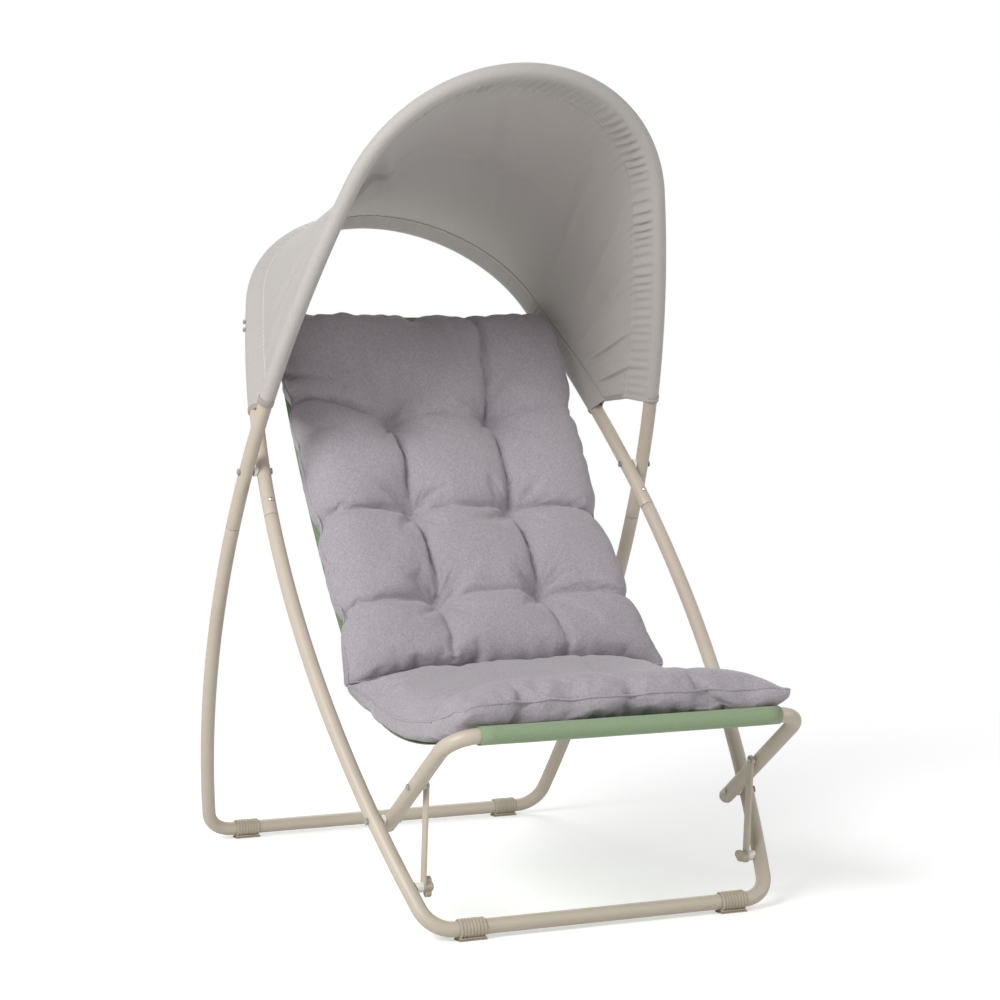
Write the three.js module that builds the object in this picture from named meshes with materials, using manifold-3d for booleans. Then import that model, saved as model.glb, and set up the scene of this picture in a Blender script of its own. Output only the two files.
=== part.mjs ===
// A folding sun lounger with a canopy, as separate pieces at rest on the floor.
// Two long tube loops cross like scissors at a pivot on each side. Their lower halves are the legs,
// their upper halves are the canopy hoops. A short U-shaped seat frame hangs on the front legs.
// Millimetres, +Z up, the foot end faces -Y, left is -X. The origin is the bottom centre of the whole.
import * as THREE from "three";
import { mergeVertices } from "three/addons/utils/BufferGeometryUtils.js";
import Module from "manifold-3d";

const wasm = await Module();
wasm.setup();

// Sizes shared by many pieces
const TUBE_DIAMETER = 22;
const TUBE_WALL = 1;
const FIT_GAP = 0.3;
const CUT_OVERRUN = 2;
const TUBE_SIDES = 12;
const ROUND_SIDES = 12;
const PIN_SIDES = 8;
const SIDES = [-1, 1];

const tube = {
  radius: TUBE_DIAMETER / 2,
  bore: TUBE_DIAMETER / 2 - TUBE_WALL,
  corner: TUBE_DIAMETER / 2 / Math.cos(Math.PI / TUBE_SIDES),
};

// The two crossing loops. Heights run along each loop's own plane, from the pivot axis.
const BOW_RADIUS = 2400;
const BOW_STEP = 165;
const CROWN_STEPS = 14;
const CORNER_STEPS = 4;
const CORNER_RADIUS = 45;
const PIVOT_GAP = 6.5;
const FRONT_LEG_LENGTH = 814;
const FRONT_LEG_LEAN = THREE.MathUtils.degToRad(41.2);
const REAR_LEG_LEAN = THREE.MathUtils.degToRad(27.9);
const OUTER_HALF_WIDTH = 352;
const OUTER_WIDEST_BELOW = 205;
const OUTER_CROWN_RADIUS = 262;
const OUTER_RING_BELOW = 99;
const INNER_WIDEST_BELOW = 262;
const INNER_CROWN_RADIUS = 257;
const INNER_RING_BELOW = 89;
const SPIGOT_LENGTH = 45;
const SPIGOT_WALL = 1.2;
const SHOULDER_LENGTH = 4;

const spigot = {
  radius: tube.bore - FIT_GAP,
  bore: tube.bore - FIT_GAP - SPIGOT_WALL,
};

// Feet
const FOOT_LENGTH = 40;
const FOOT_WALL = 3;
const FOOT_RIB_HEIGHT = 1;
const FOOT_RIBS = 6;
const FOOT_HALF_BASE = 9;
const PAD_THICKNESS = 2.4;
const PAD_OVERHANG = 1;
const FRONT_FOOT_FROM_BEND = 23;
const REAR_FOOT_FROM_BEND = 27;

// Seat frame, its lower pivots and its end caps
const ARM_LENGTH = 251;
const ARM_RISE = THREE.MathUtils.degToRad(34.6);
const ARM_TAIL = 18;
const ARM_CORNER_RADIUS = 42;
const SEAT_PIVOT_ABOVE_BAR = 181;
const SEAT_PIVOT_GAP = 4.5;
const CAP_INSERT = 8;
const CAP_DOME = 5;

// Rivets, screws and spacers
const RIVET_RADIUS = 3;
const RIVET_HEAD_RADIUS = 5.5;
const RIVET_HEAD_HEIGHT = 2.4;
const SPACER_RADIUS = 7.5;
const SCREW_RADIUS = 2.2;
const SCREW_HEAD_RADIUS = 4.2;
const SCREW_HEAD_HEIGHT = 2.2;
const SCREW_BITE = 12;
const SCREW_PITCH = 17;

// Support links with their hand knobs
const LINK_RIVET_ALONG = 105;
const KNOB_ABOVE_BAR = 70;
const LINK_WIDTH = 15;
const LINK_THICKNESS = 3;
const LINK_STANDOFF = 4;
const LINK_RIVET_RADIUS = 2.5;
const LINK_RIVET_HEAD_RADIUS = 4.8;
const KNOB_SPAN = 30;
const KNOB_WING_WIDTH = 12;
const KNOB_THICKNESS = 9;
const KNOB_HUB_RADIUS = 8;
const KNOB_HUB_RISE = 2.5;
const KNOB_BEVEL = 1.2;
const STUD_RADIUS = 2.8;
const STUD_SINK = 6;
const STUD_HEX_RADIUS = 4.6;
const KNOB_TURN_LEFT = 0;
const KNOB_TURN_RIGHT = THREE.MathUtils.degToRad(80);

// Snap buttons that lock each hoop on its legs, and their leaf springs
const BUTTON_ABOVE_RING = 26;
const BUTTON_RADIUS = 3.2;
const BUTTON_PROUD = 2.6;
const BUTTON_INNER_LENGTH = 2.6;
const SPRING_WIDTH = 7;
const SPRING_THICKNESS = 0.8;
const SPRING_LENGTH = 30;
const SPRING_SPREAD = 11;

// Crossbar behind the head end of the sling
const CROSSBAR_ABOVE = 303;
const CROSSBAR_DEPTH = 32;
const CROSSBAR_THICKNESS = 14;
const CROSSBAR_WALL = 1.2;
const PLUG_LENGTH = 20;

// Sling
const SLING_FROM_ARM = 41.6;
const CLOTH = 1.6;
const BACK_LEAN = THREE.MathUtils.degToRad(33.6);
const BACK_RUN = 640;
const CREASE_RUN = 30;
const BACK_BOW = 27;
const PAN_DROP = 78;
const PAN_BACK_SHARE = 0.38;
const SLING_STEPS = 9;
const TUNNEL_SIDES = 18;

// Cushions
const CUSHION_FROM_ARM = 14.6;
const CUSHION_LIFT = 0.4;
const BACK_CUSHION_TOP = 12;
const BACK_CUSHION_END = 674;
const BACK_CUSHION_THICKNESS = 92;
const SEAT_CUSHION_START = 26;
const SEAT_CUSHION_OVERHANG = 11;
const SEAT_CUSHION_SETTLE = 6;
const SEAT_CUSHION_THICKNESS = 76;
const SIDE_DRAW_IN = 8;
const END_DRAW_IN = 7;
const CORNER_INSET = 5;
const TOP_CORNER_INSET = 16;
const CORNER_POWER = 14;
const TUFT_X = 84;
const TUFT_FIRST_ROW = 215;
const TUFT_PITCH = 169;
const TUFT_DEPTH = 26;
const TUFT_SPREAD = 34;
const TUFT_ROWS = 3;
const SEAT_TUFT_ROW = 285;
const BACK_SEAM_SHARE = 0.45;
const SEAT_SEAM_SHARE = 0.26;
const CUSHION_COLUMNS = 18;
const CUSHION_ROWS = 16;

// Canopy
const HEM_ABOVE = 120;
const SLEEVE_TAIL = 21;
const TAIL_OPENING = THREE.MathUtils.degToRad(36);
const FRONT_TAIL_TURN = THREE.MathUtils.degToRad(45);
const REAR_TAIL_TURN = THREE.MathUtils.degToRad(25);
const PANEL_SAG = 14;
const PANEL_ROWS = 8;
const CREASE_DEPTH = 5;
const CREASE_COUNT = 5;

const sleeve = {
  bore: tube.radius + FIT_GAP,
  radius: tube.radius + FIT_GAP + CLOTH,
};

// Finishes, as seen on the object
const finish = {
  frame: new THREE.MeshStandardMaterial({ color: 0xb9afa1, roughness: 0.45, metalness: 0 }),
  steel: new THREE.MeshStandardMaterial({ color: 0xa9a9a6, roughness: 0.3, metalness: 1 }),
  white: new THREE.MeshStandardMaterial({ color: 0xeeeeec, roughness: 0.5, metalness: 0 }),
  plastic: new THREE.MeshStandardMaterial({ color: 0x9f927f, roughness: 0.55, metalness: 0 }),
  rubber: new THREE.MeshStandardMaterial({ color: 0x3c3a38, roughness: 0.8, metalness: 0 }),
  sling: new THREE.MeshStandardMaterial({ color: 0x8ba381, roughness: 0.85, metalness: 0 }),
  cushion: new THREE.MeshStandardMaterial({ color: 0xa29aa0, roughness: 0.95, metalness: 0 }),
  canopy: new THREE.MeshStandardMaterial({ color: 0xb7b0aa, roughness: 0.8, metalness: 0 }),
  tape: new THREE.MeshStandardMaterial({ color: 0x9c9189, roughness: 0.85, metalness: 0 }),
};

const lounger = new THREE.Group();

function add(parent, name, geometry, material) {
  const mesh = new THREE.Mesh(geometry, material);
  mesh.name = name;
  parent.add(mesh);
  return mesh;
}

function sideName(side) {
  return side < 0 ? "left" : "right";
}

// Solids for cutting and joining
function solidOf(geometry) {
  const bare = geometry.clone();
  bare.deleteAttribute("normal");
  bare.deleteAttribute("uv");
  const merged = mergeVertices(bare);
  const mesh = new wasm.Mesh({
    numProp: 3,
    vertProperties: merged.attributes.position.array,
    triVerts: new Uint32Array(merged.index.array),
  });
  return new wasm.Manifold(mesh);
}

function geometryOf(solid) {
  const mesh = solid.getMesh();
  const geometry = new THREE.BufferGeometry();
  geometry.setAttribute("position", new THREE.BufferAttribute(mesh.vertProperties, mesh.numProp));
  geometry.setIndex(new THREE.BufferAttribute(mesh.triVerts, 1));
  geometry.computeVertexNormals();
  return geometry;
}

function join(...geometries) {
  return geometryOf(geometries.map(solidOf).reduce((whole, piece) => whole.add(piece)));
}

function cut(geometry, ...tools) {
  return geometryOf(tools.map(solidOf).reduce((whole, tool) => whole.subtract(tool), solidOf(geometry)));
}

// A round bar from one X to another, at a height and depth
function barAlongX(radius, fromX, toX, y = 0, z = 0, sides = ROUND_SIDES) {
  const bar = new THREE.CylinderGeometry(radius, radius, Math.abs(toX - fromX), sides);
  return bar.rotateZ(Math.PI / 2).translate((fromX + toX) / 2, y, z);
}

// A round bar along Y
function barAlongY(radius, fromY, toY, x, z, sides = ROUND_SIDES) {
  const bar = new THREE.CylinderGeometry(radius, radius, Math.abs(toY - fromY), sides);
  return bar.translate(x, (fromY + toY) / 2, z);
}

// A turned piece about the X axis: the profile gives [distance along X, radius] pairs, axis to axis
function turnedAlongX(profile, sides = ROUND_SIDES) {
  const points = profile.map(([along, radius]) => new THREE.Vector2(radius, along));
  return new THREE.LatheGeometry(points, sides).rotateZ(-Math.PI / 2);
}

// A curve that puts a section only at the given stations
class StationCurve extends THREE.Curve {
  constructor(stations) {
    super();
    this.stations = stations;
  }

  stationAt(u) {
    return this.stations[Math.round(u * (this.stations.length - 1))];
  }

  getPointAt(u, target = new THREE.Vector3()) {
    return target.copy(this.stationAt(u).point);
  }

  getTangentAt(u, target = new THREE.Vector3()) {
    return target.copy(this.stationAt(u).tangent);
  }
}

// A section swept through stations. Section x points to the front face, section y points out of the loop.
function swept(shape, stations) {
  return new THREE.ExtrudeGeometry(shape, {
    steps: stations.length - 1,
    extrudePath: new StationCurve(stations),
    curveSegments: TUBE_SIDES,
  });
}

// A many-sided circle whose flats lie at the radius, with flats to the front and to the outside
function roundPoints(radius) {
  const corner = radius / Math.cos(Math.PI / TUBE_SIDES);
  const points = [];
  for (let i = 0; i < TUBE_SIDES; i++) {
    const angle = (2 * Math.PI * (i + 0.5)) / TUBE_SIDES;
    points.push(new THREE.Vector2(corner * Math.cos(angle), corner * Math.sin(angle)));
  }
  return points;
}

function ringShape(radius, bore) {
  const shape = new THREE.Shape(roundPoints(radius));
  shape.holes.push(new THREE.Path(roundPoints(bore)));
  return shape;
}

// The course of a loop in its own plane: bowed sides, a round crown above and round corners below
function loopCourse({ halfWidth, widestBelow, crownRadius, legLength }) {
  const bowX = halfWidth - BOW_RADIUS;
  const bow = { x: bowX, z: -widestBelow };
  const crownZ = -widestBelow + Math.sqrt((BOW_RADIUS - crownRadius) ** 2 - bowX ** 2);
  const crownAngle = Math.atan2(crownZ - bow.z, -bowX);
  const cornerZ = -legLength + CORNER_RADIUS;
  const cornerX = bowX + Math.sqrt((BOW_RADIUS - CORNER_RADIUS) ** 2 - (cornerZ - bow.z) ** 2);
  const cornerAngle = Math.atan2(cornerZ - bow.z, cornerX - bowX);
  const bowAngle = (z) => Math.asin((z - bow.z) / BOW_RADIUS);
  const sideX = (z) => bowX + BOW_RADIUS * Math.cos(bowAngle(z));
  return {
    bow, bowAngle, sideX, legLength,
    crownZ, crownRadius, crownAngle, crownStartZ: bow.z + BOW_RADIUS * Math.sin(crownAngle),
    cornerX, cornerZ, cornerAngle, cornerStartZ: bow.z + BOW_RADIUS * Math.sin(cornerAngle),
  };
}

function arcStations(centre, radius, from, to, steps) {
  const stations = [];
  const turn = Math.sign(to - from);
  for (let i = 0; i <= steps; i++) {
    const angle = from + ((to - from) * i) / steps;
    stations.push({
      point: new THREE.Vector3(centre.x + radius * Math.cos(angle), 0, centre.z + radius * Math.sin(angle)),
      tangent: new THREE.Vector3(-Math.sin(angle) * turn, 0, Math.cos(angle) * turn),
    });
  }
  return stations;
}

// The left half is the right half mirrored, walked the other way
function mirroredBack(stations) {
  return stations.map(({ point, tangent }) => ({
    point: new THREE.Vector3(-point.x, point.y, point.z),
    tangent: new THREE.Vector3(tangent.x, tangent.y, -tangent.z),
  })).reverse();
}

// Stations up or down a bowed side, at every given height and at even steps between them
function sideStations(course, ...heights) {
  const stations = [];
  for (let i = 1; i < heights.length; i++) {
    const [from, to] = [heights[i - 1], heights[i]];
    const steps = Math.ceil(Math.abs(to - from) / BOW_STEP);
    const arc = arcStations(course.bow, BOW_RADIUS, course.bowAngle(from), course.bowAngle(to), steps);
    stations.push(...arc.slice(stations.length ? 1 : 0));
  }
  return stations;
}

function hoopOver(course, side) {
  const crownCentre = { x: 0, z: course.crownZ };
  const far = Math.PI - course.crownAngle;
  const crown = arcStations(crownCentre, course.crownRadius, course.crownAngle, far, CROWN_STEPS);
  return [...side, ...crown.slice(1, -1), ...mirroredBack(side)];
}

function legStations(course, ...heights) {
  const side = sideStations(course, ...heights, course.cornerStartZ);
  const cornerCentre = { x: course.cornerX, z: course.cornerZ };
  const floor = -Math.PI / 2;
  const corner = arcStations(cornerCentre, CORNER_RADIUS, course.cornerAngle, floor, CORNER_STEPS);
  const half = [...side, ...corner.slice(1)];
  return [...half, ...mirroredBack(half)];
}

// The right-hand piece for side 1, mirrored for side -1
function onSide(side, geometry) {
  if (side > 0) return geometry;
  const mirrored = geometry.clone().scale(-1, 1, 1).toNonIndexed();
  const position = mirrored.attributes.position;
  const array = position.array;
  for (let i = 0; i < array.length; i += 9) {
    for (let k = 0; k < 3; k++) {
      [array[i + 3 + k], array[i + 6 + k]] = [array[i + 6 + k], array[i + 3 + k]];
    }
  }
  mirrored.computeVertexNormals();
  return mirrored;
}

// Courses of both loops. The inner loop keeps the pivot gap to the outer one.
const dropToFloor = FRONT_LEG_LENGTH * Math.cos(FRONT_LEG_LEAN);
const outer = loopCourse({
  halfWidth: OUTER_HALF_WIDTH,
  widestBelow: OUTER_WIDEST_BELOW,
  crownRadius: OUTER_CROWN_RADIUS,
  legLength: dropToFloor / Math.cos(REAR_LEG_LEAN),
});
const seatPivotZ = SEAT_PIVOT_ABOVE_BAR - FRONT_LEG_LENGTH;
const knobZ = KNOB_ABOVE_BAR - FRONT_LEG_LENGTH;
const innerPivotX = outer.sideX(0) - TUBE_DIAMETER - PIVOT_GAP;
const innerBulge = BOW_RADIUS - Math.sqrt(BOW_RADIUS ** 2 - INNER_WIDEST_BELOW ** 2);
const inner = loopCourse({
  halfWidth: innerPivotX + innerBulge,
  widestBelow: INNER_WIDEST_BELOW,
  crownRadius: INNER_CROWN_RADIUS,
  legLength: FRONT_LEG_LENGTH,
});

// Each loop lies in a plane that leans about the pivot axis
const barHeight = tube.radius + FOOT_WALL + PAD_THICKNESS;
const outerFrame = new THREE.Group();
outerFrame.position.z = barHeight + dropToFloor;
outerFrame.rotation.x = REAR_LEG_LEAN;
const innerFrame = new THREE.Group();
innerFrame.position.z = barHeight + dropToFloor;
innerFrame.rotation.x = -FRONT_LEG_LEAN;
lounger.add(outerFrame, innerFrame);

// Where a height on a leaning loop is, seen from the side
function onInner(z) {
  return {
    y: z * Math.sin(FRONT_LEG_LEAN),
    z: innerFrame.position.z + z * Math.cos(FRONT_LEG_LEAN),
  };
}

function onOuter(z) {
  return {
    y: -z * Math.sin(REAR_LEG_LEAN),
    z: outerFrame.position.z + z * Math.cos(REAR_LEG_LEAN),
  };
}

// How far a bowed tube's flank reaches from its middle line along X, within a radius of a height
function flank(course, z, within = 0) {
  const angle = course.bowAngle(z);
  return tube.radius / Math.cos(angle) + within * Math.abs(Math.tan(angle));
}

// The legs and floor bar of a loop: one bent tube whose swaged ends plug into the hoop
function legFrame(course, ringBelow, ...heights) {
  const ringZ = -ringBelow - FIT_GAP;
  const shoulderZ = ringZ - SHOULDER_LENGTH;
  const body = swept(ringShape(tube.radius, tube.bore), legStations(course, ringZ, shoulderZ, ...heights));
  const ends = SIDES.flatMap((side) => {
    const shoulder = sideStations(course, shoulderZ, ringZ);
    const plug = sideStations(course, shoulderZ, -ringBelow, -ringBelow + SPIGOT_LENGTH);
    return [
      onSide(side, swept(ringShape(tube.radius, spigot.bore), shoulder)),
      onSide(side, swept(ringShape(spigot.radius, spigot.bore), plug)),
    ];
  });
  return join(body, ...ends);
}

// From the hem to the crown both hoops have as many stations, shared by each hoop and its sleeve
const rearFromHem = sideStations(inner, HEM_ABOVE, CROSSBAR_ABOVE, inner.crownStartZ);
const [hemAngle, crownAngle] = [outer.bowAngle(HEM_ABOVE), outer.crownAngle];
const fromHem = {
  rear: rearFromHem,
  front: arcStations(outer.bow, BOW_RADIUS, hemAngle, crownAngle, rearFromHem.length - 1),
};

function hoopFromJoint(course, ringBelow, upper) {
  const lower = sideStations(course, -ringBelow, -ringBelow + SPIGOT_LENGTH, 0, HEM_ABOVE);
  return hoopOver(course, [...lower, ...upper.slice(1)]);
}

// Holes across a loop on both sides, along X or square to the loop's plane
function crossHoles(course, radius, z, reach = tube.radius + CUT_OVERRUN) {
  return SIDES.map((side) => {
    const x = side * course.sideX(z);
    return barAlongX(radius, x - reach, x + reach, 0, z, PIN_SIDES);
  });
}

function faceHoles(course, radius, z, facing) {
  return SIDES.map((side) => {
    const far = facing * (tube.radius + CUT_OVERRUN);
    return barAlongY(radius, 0, far, side * course.sideX(z), z, PIN_SIDES);
  });
}

const rivetHole = RIVET_RADIUS + FIT_GAP;
const buttonHole = BUTTON_RADIUS + FIT_GAP;
const innerButtonZ = -INNER_RING_BELOW + BUTTON_ABOVE_RING;
const outerButtonZ = -OUTER_RING_BELOW + BUTTON_ABOVE_RING;
const FRONT_FACE = -1;
const REAR_FACE = 1;

function buildLoops() {
  const studHole = STUD_RADIUS + FIT_GAP;
  const screwHole = SCREW_RADIUS + FIT_GAP;
  const screwZs = [CROSSBAR_ABOVE - SCREW_PITCH / 2, CROSSBAR_ABOVE + SCREW_PITCH / 2];
  const tubeShape = ringShape(tube.radius, tube.bore);
  const frontLegs = cut(
    legFrame(inner, INNER_RING_BELOW, seatPivotZ, knobZ),
    ...crossHoles(inner, rivetHole, seatPivotZ),
    ...faceHoles(inner, buttonHole, innerButtonZ, FRONT_FACE),
    ...SIDES.map((side) => {
      const x = side * inner.sideX(knobZ);
      return barAlongX(studHole, x, x - side * (tube.radius + CUT_OVERRUN), 0, knobZ, PIN_SIDES);
    }),
  );
  const rearLegs = cut(
    legFrame(outer, OUTER_RING_BELOW),
    ...faceHoles(outer, buttonHole, outerButtonZ, REAR_FACE),
  );
  const rearHoop = cut(
    swept(tubeShape, hoopFromJoint(inner, INNER_RING_BELOW, fromHem.rear)),
    ...crossHoles(inner, rivetHole, 0),
    ...faceHoles(inner, buttonHole, innerButtonZ, FRONT_FACE),
    ...screwZs.flatMap((z) => crossHoles(inner, screwHole, z)),
  );
  const frontHoop = cut(
    swept(tubeShape, hoopFromJoint(outer, OUTER_RING_BELOW, fromHem.front)),
    ...crossHoles(outer, rivetHole, 0),
    ...faceHoles(outer, buttonHole, outerButtonZ, REAR_FACE),
  );
  add(innerFrame, "front_leg_frame", frontLegs, finish.frame);
  add(outerFrame, "rear_leg_frame", rearLegs, finish.frame);
  add(innerFrame, "rear_hoop", rearHoop, finish.frame);
  add(outerFrame, "front_hoop", frontHoop, finish.frame);
}

// A long rivet along X: a domed head, a shank and a second domed head
function rivet(fromX, toX, radius, headRadius) {
  const low = Math.min(fromX, toX);
  const high = Math.max(fromX, toX);
  const rim = RIVET_HEAD_HEIGHT / 2;
  return turnedAlongX([
    [low - RIVET_HEAD_HEIGHT, 0],
    [low - RIVET_HEAD_HEIGHT, headRadius / 2],
    [low - rim, headRadius],
    [low, headRadius],
    [low, radius],
    [high, radius],
    [high, headRadius],
    [high + rim, headRadius],
    [high + RIVET_HEAD_HEIGHT, headRadius / 2],
    [high + RIVET_HEAD_HEIGHT, 0],
  ], PIN_SIDES);
}

// A round spacer along X whose one face is hollowed to hug a tube, with a bore through it
function saddleSpacer({ tubeX, flatX, z, lean, radius, bore }) {
  const toFlat = Math.sign(flatX - tubeX);
  const blank = barAlongX(radius, tubeX, flatX, 0, z);
  const hugRadius = (tube.corner + FIT_GAP) / Math.cos(Math.PI / ROUND_SIDES);
  const hug = new THREE.CylinderGeometry(hugRadius, hugRadius, 4 * radius, ROUND_SIDES);
  hug.rotateX(Math.PI / 2).rotateY(lean).translate(tubeX, 0, z);
  const through = barAlongX(bore, tubeX, flatX + toFlat * CUT_OVERRUN, 0, z, PIN_SIDES);
  return cut(blank, hug, through);
}

function buildUpperPivots() {
  for (const side of SIDES) {
    const name = sideName(side);
    const innerX = inner.sideX(0);
    const outerX = outer.sideX(0);
    const shank = rivet(
      side * (innerX - flank(inner, 0, RIVET_HEAD_RADIUS) - FIT_GAP),
      side * (outerX + flank(outer, 0, RIVET_HEAD_RADIUS) + FIT_GAP),
      RIVET_RADIUS, RIVET_HEAD_RADIUS,
    );
    add(innerFrame, `pivot_rivet_${name}`, shank, finish.steel);
    const spacer = saddleSpacer({
      tubeX: side * innerX,
      flatX: side * (outerX - flank(outer, 0, SPACER_RADIUS) - FIT_GAP),
      z: 0,
      lean: -side * inner.bowAngle(0),
      radius: SPACER_RADIUS,
      bore: rivetHole,
    });
    add(innerFrame, `pivot_spacer_${name}`, spacer, finish.white);
  }
}

// Feet: ribbed clips round the floor bars, each with a soft pad below
const footBore = (tube.corner + FIT_GAP) / Math.cos(Math.PI / ROUND_SIDES);

function footProfile() {
  const profile = [];
  const half = FOOT_LENGTH / 2;
  const pitch = FOOT_LENGTH / FOOT_RIBS;
  const skin = tube.radius + FOOT_WALL - FOOT_RIB_HEIGHT;
  profile.push([-half, skin]);
  for (let i = 0; i < FOOT_RIBS; i++) {
    profile.push([-half + pitch * (i + 0.5), skin + FOOT_RIB_HEIGHT]);
    profile.push([-half + pitch * (i + 1), skin]);
  }
  return [...profile, [half, footBore], [-half, footBore], [-half, skin]];
}

function buildFeet() {
  const base = new THREE.BoxGeometry(FOOT_LENGTH, 2 * FOOT_HALF_BASE, FOOT_WALL + tube.radius / 2);
  base.translate(0, 0, -tube.radius - FOOT_WALL + (FOOT_WALL + tube.radius / 2) / 2);
  const bore = barAlongX(footBore, -FOOT_LENGTH, FOOT_LENGTH);
  const clip = cut(join(turnedAlongX(footProfile()), base), bore);
  const padLength = FOOT_LENGTH + 2 * PAD_OVERHANG;
  const padWidth = 2 * FOOT_HALF_BASE + 2 * PAD_OVERHANG;
  const pad = new THREE.BoxGeometry(padLength, padWidth, PAD_THICKNESS - FIT_GAP);
  const padZ = (PAD_THICKNESS - FIT_GAP) / 2;
  const places = [
    { end: "front", x: inner.cornerX - FRONT_FOOT_FROM_BEND, y: onInner(-inner.legLength).y },
    { end: "rear", x: outer.cornerX - REAR_FOOT_FROM_BEND, y: onOuter(-outer.legLength).y },
  ];
  for (const { end, x, y } of places) {
    for (const side of SIDES) {
      const name = `${end}_foot_${sideName(side)}`;
      add(lounger, name, clip.clone(), finish.plastic).position.set(side * x, y, barHeight);
      add(lounger, `${name}_pad`, pad.clone(), finish.rubber).position.set(side * x, y, padZ);
    }
  }
}

// The seat frame turns on the front legs. Its own plane starts at the lower pivots.
const seatPivot = onInner(seatPivotZ);
const seatFrame = new THREE.Group();
seatFrame.position.set(0, seatPivot.y, seatPivot.z);
seatFrame.rotation.x = Math.PI / 2 - ARM_RISE;
lounger.add(seatFrame);

const legFlankX = inner.sideX(seatPivotZ) - flank(inner, seatPivotZ);
const armX = legFlankX - SEAT_PIVOT_GAP - tube.radius;
const slingHalfWidth = armX - SLING_FROM_ARM;
const cushionHalfWidth = armX - CUSHION_FROM_ARM;
const frontBar = {
  y: seatPivot.y - ARM_LENGTH * Math.cos(ARM_RISE),
  z: seatPivot.z + ARM_LENGTH * Math.sin(ARM_RISE),
};

function seatStations() {
  const up = new THREE.Vector3(0, 0, 1);
  const armEnd = { point: new THREE.Vector3(armX, 0, -ARM_TAIL), tangent: up };
  const cornerCentre = { x: armX - ARM_CORNER_RADIUS, z: ARM_LENGTH - ARM_CORNER_RADIUS };
  const corner = arcStations(cornerCentre, ARM_CORNER_RADIUS, 0, Math.PI / 2, CORNER_STEPS);
  const half = [armEnd, ...corner];
  return [...half, ...mirroredBack(half)];
}

function buildSeatFrame() {
  const tubeShape = ringShape(tube.radius, tube.bore);
  const across = (radius, z) => SIDES.map((side) => {
    const reach = tube.radius + CUT_OVERRUN;
    return barAlongX(radius, side * armX - reach, side * armX + reach, 0, z, PIN_SIDES);
  });
  const frame = cut(
    swept(tubeShape, seatStations()),
    ...across(rivetHole, 0),
    ...across(LINK_RIVET_RADIUS + FIT_GAP, LINK_RIVET_ALONG),
  );
  add(seatFrame, "seat_frame", frame, finish.frame);
  const plugRadius = tube.bore - FIT_GAP;
  for (const side of SIDES) {
    const cap = turnedAlongX([
      [CAP_INSERT, 0],
      [CAP_INSERT, plugRadius],
      [-FIT_GAP, plugRadius],
      [-FIT_GAP, tube.radius],
      [-CAP_DOME / 2, tube.radius * 0.9],
      [-CAP_DOME, tube.radius / 2],
      [-CAP_DOME, 0],
    ].reverse());
    cap.rotateY(-Math.PI / 2).translate(side * armX, 0, -ARM_TAIL);
    add(seatFrame, `arm_cap_${sideName(side)}`, cap, finish.plastic);
  }
}

function buildSeatPivots() {
  const legX = inner.sideX(seatPivotZ);
  for (const side of SIDES) {
    const name = sideName(side);
    const shank = rivet(
      side * (armX - tube.radius - FIT_GAP),
      side * (legX + flank(inner, seatPivotZ, RIVET_HEAD_RADIUS) + FIT_GAP),
      RIVET_RADIUS, RIVET_HEAD_RADIUS,
    ).translate(0, 0, seatPivotZ);
    add(innerFrame, `seat_rivet_${name}`, shank, finish.steel);
    const spacer = saddleSpacer({
      tubeX: side * legX,
      flatX: side * (armX + tube.radius + FIT_GAP),
      z: seatPivotZ,
      lean: -side * inner.bowAngle(seatPivotZ),
      radius: SPACER_RADIUS,
      bore: rivetHole,
    });
    add(innerFrame, `seat_spacer_${name}`, spacer, finish.white);
  }
}

// Support links: flat bars from the arms down to hand knobs on the front legs
const linkTop = {
  y: seatPivot.y - LINK_RIVET_ALONG * Math.cos(ARM_RISE),
  z: seatPivot.z + LINK_RIVET_ALONG * Math.sin(ARM_RISE),
};
const linkFoot = onInner(knobZ);
const linkLength = Math.hypot(linkTop.y - linkFoot.y, linkTop.z - linkFoot.z);
const linkTurn = Math.atan2(linkFoot.y - linkTop.y, linkTop.z - linkFoot.z);
const linkOuterX = armX - tube.radius - LINK_STANDOFF;
const linkInnerX = linkOuterX - LINK_THICKNESS;

function linkShape() {
  const half = LINK_WIDTH / 2;
  const shape = new THREE.Shape();
  shape.absarc(0, 0, half, 0, Math.PI, false);
  shape.absarc(0, -linkLength, half, Math.PI, 2 * Math.PI, false);
  const holes = [[0, LINK_RIVET_RADIUS], [-linkLength, STUD_RADIUS]];
  for (const [along, radius] of holes) {
    const hole = new THREE.Path();
    hole.absarc(0, along, radius + FIT_GAP, 0, 2 * Math.PI, true);
    shape.holes.push(hole);
  }
  return shape;
}

// Turns a shape drawn in (Y, Z) and extruded along X into place
const SIDE_VIEW = new THREE.Matrix4().makeBasis(
  new THREE.Vector3(0, 1, 0), new THREE.Vector3(0, 0, 1), new THREE.Vector3(1, 0, 0),
);

function extrudedAlongX(shape, fromX, toX, curveSegments = ROUND_SIDES / 2) {
  const depth = Math.abs(toX - fromX);
  const solid = new THREE.ExtrudeGeometry(shape, { depth, bevelEnabled: false, curveSegments });
  return solid.applyMatrix4(SIDE_VIEW).translate(Math.min(fromX, toX), 0, 0);
}

function knobShape() {
  const wing = KNOB_WING_WIDTH / 2;
  const reach = KNOB_SPAN / 2 - wing;
  const waist = wing * 0.7;
  const shape = new THREE.Shape();
  shape.absarc(0, reach, wing, 0, Math.PI, false);
  shape.quadraticCurveTo(-waist, 0, -wing, -reach);
  shape.absarc(0, -reach, wing, Math.PI, 2 * Math.PI, false);
  shape.quadraticCurveTo(waist, 0, wing, reach);
  return shape;
}

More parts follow.
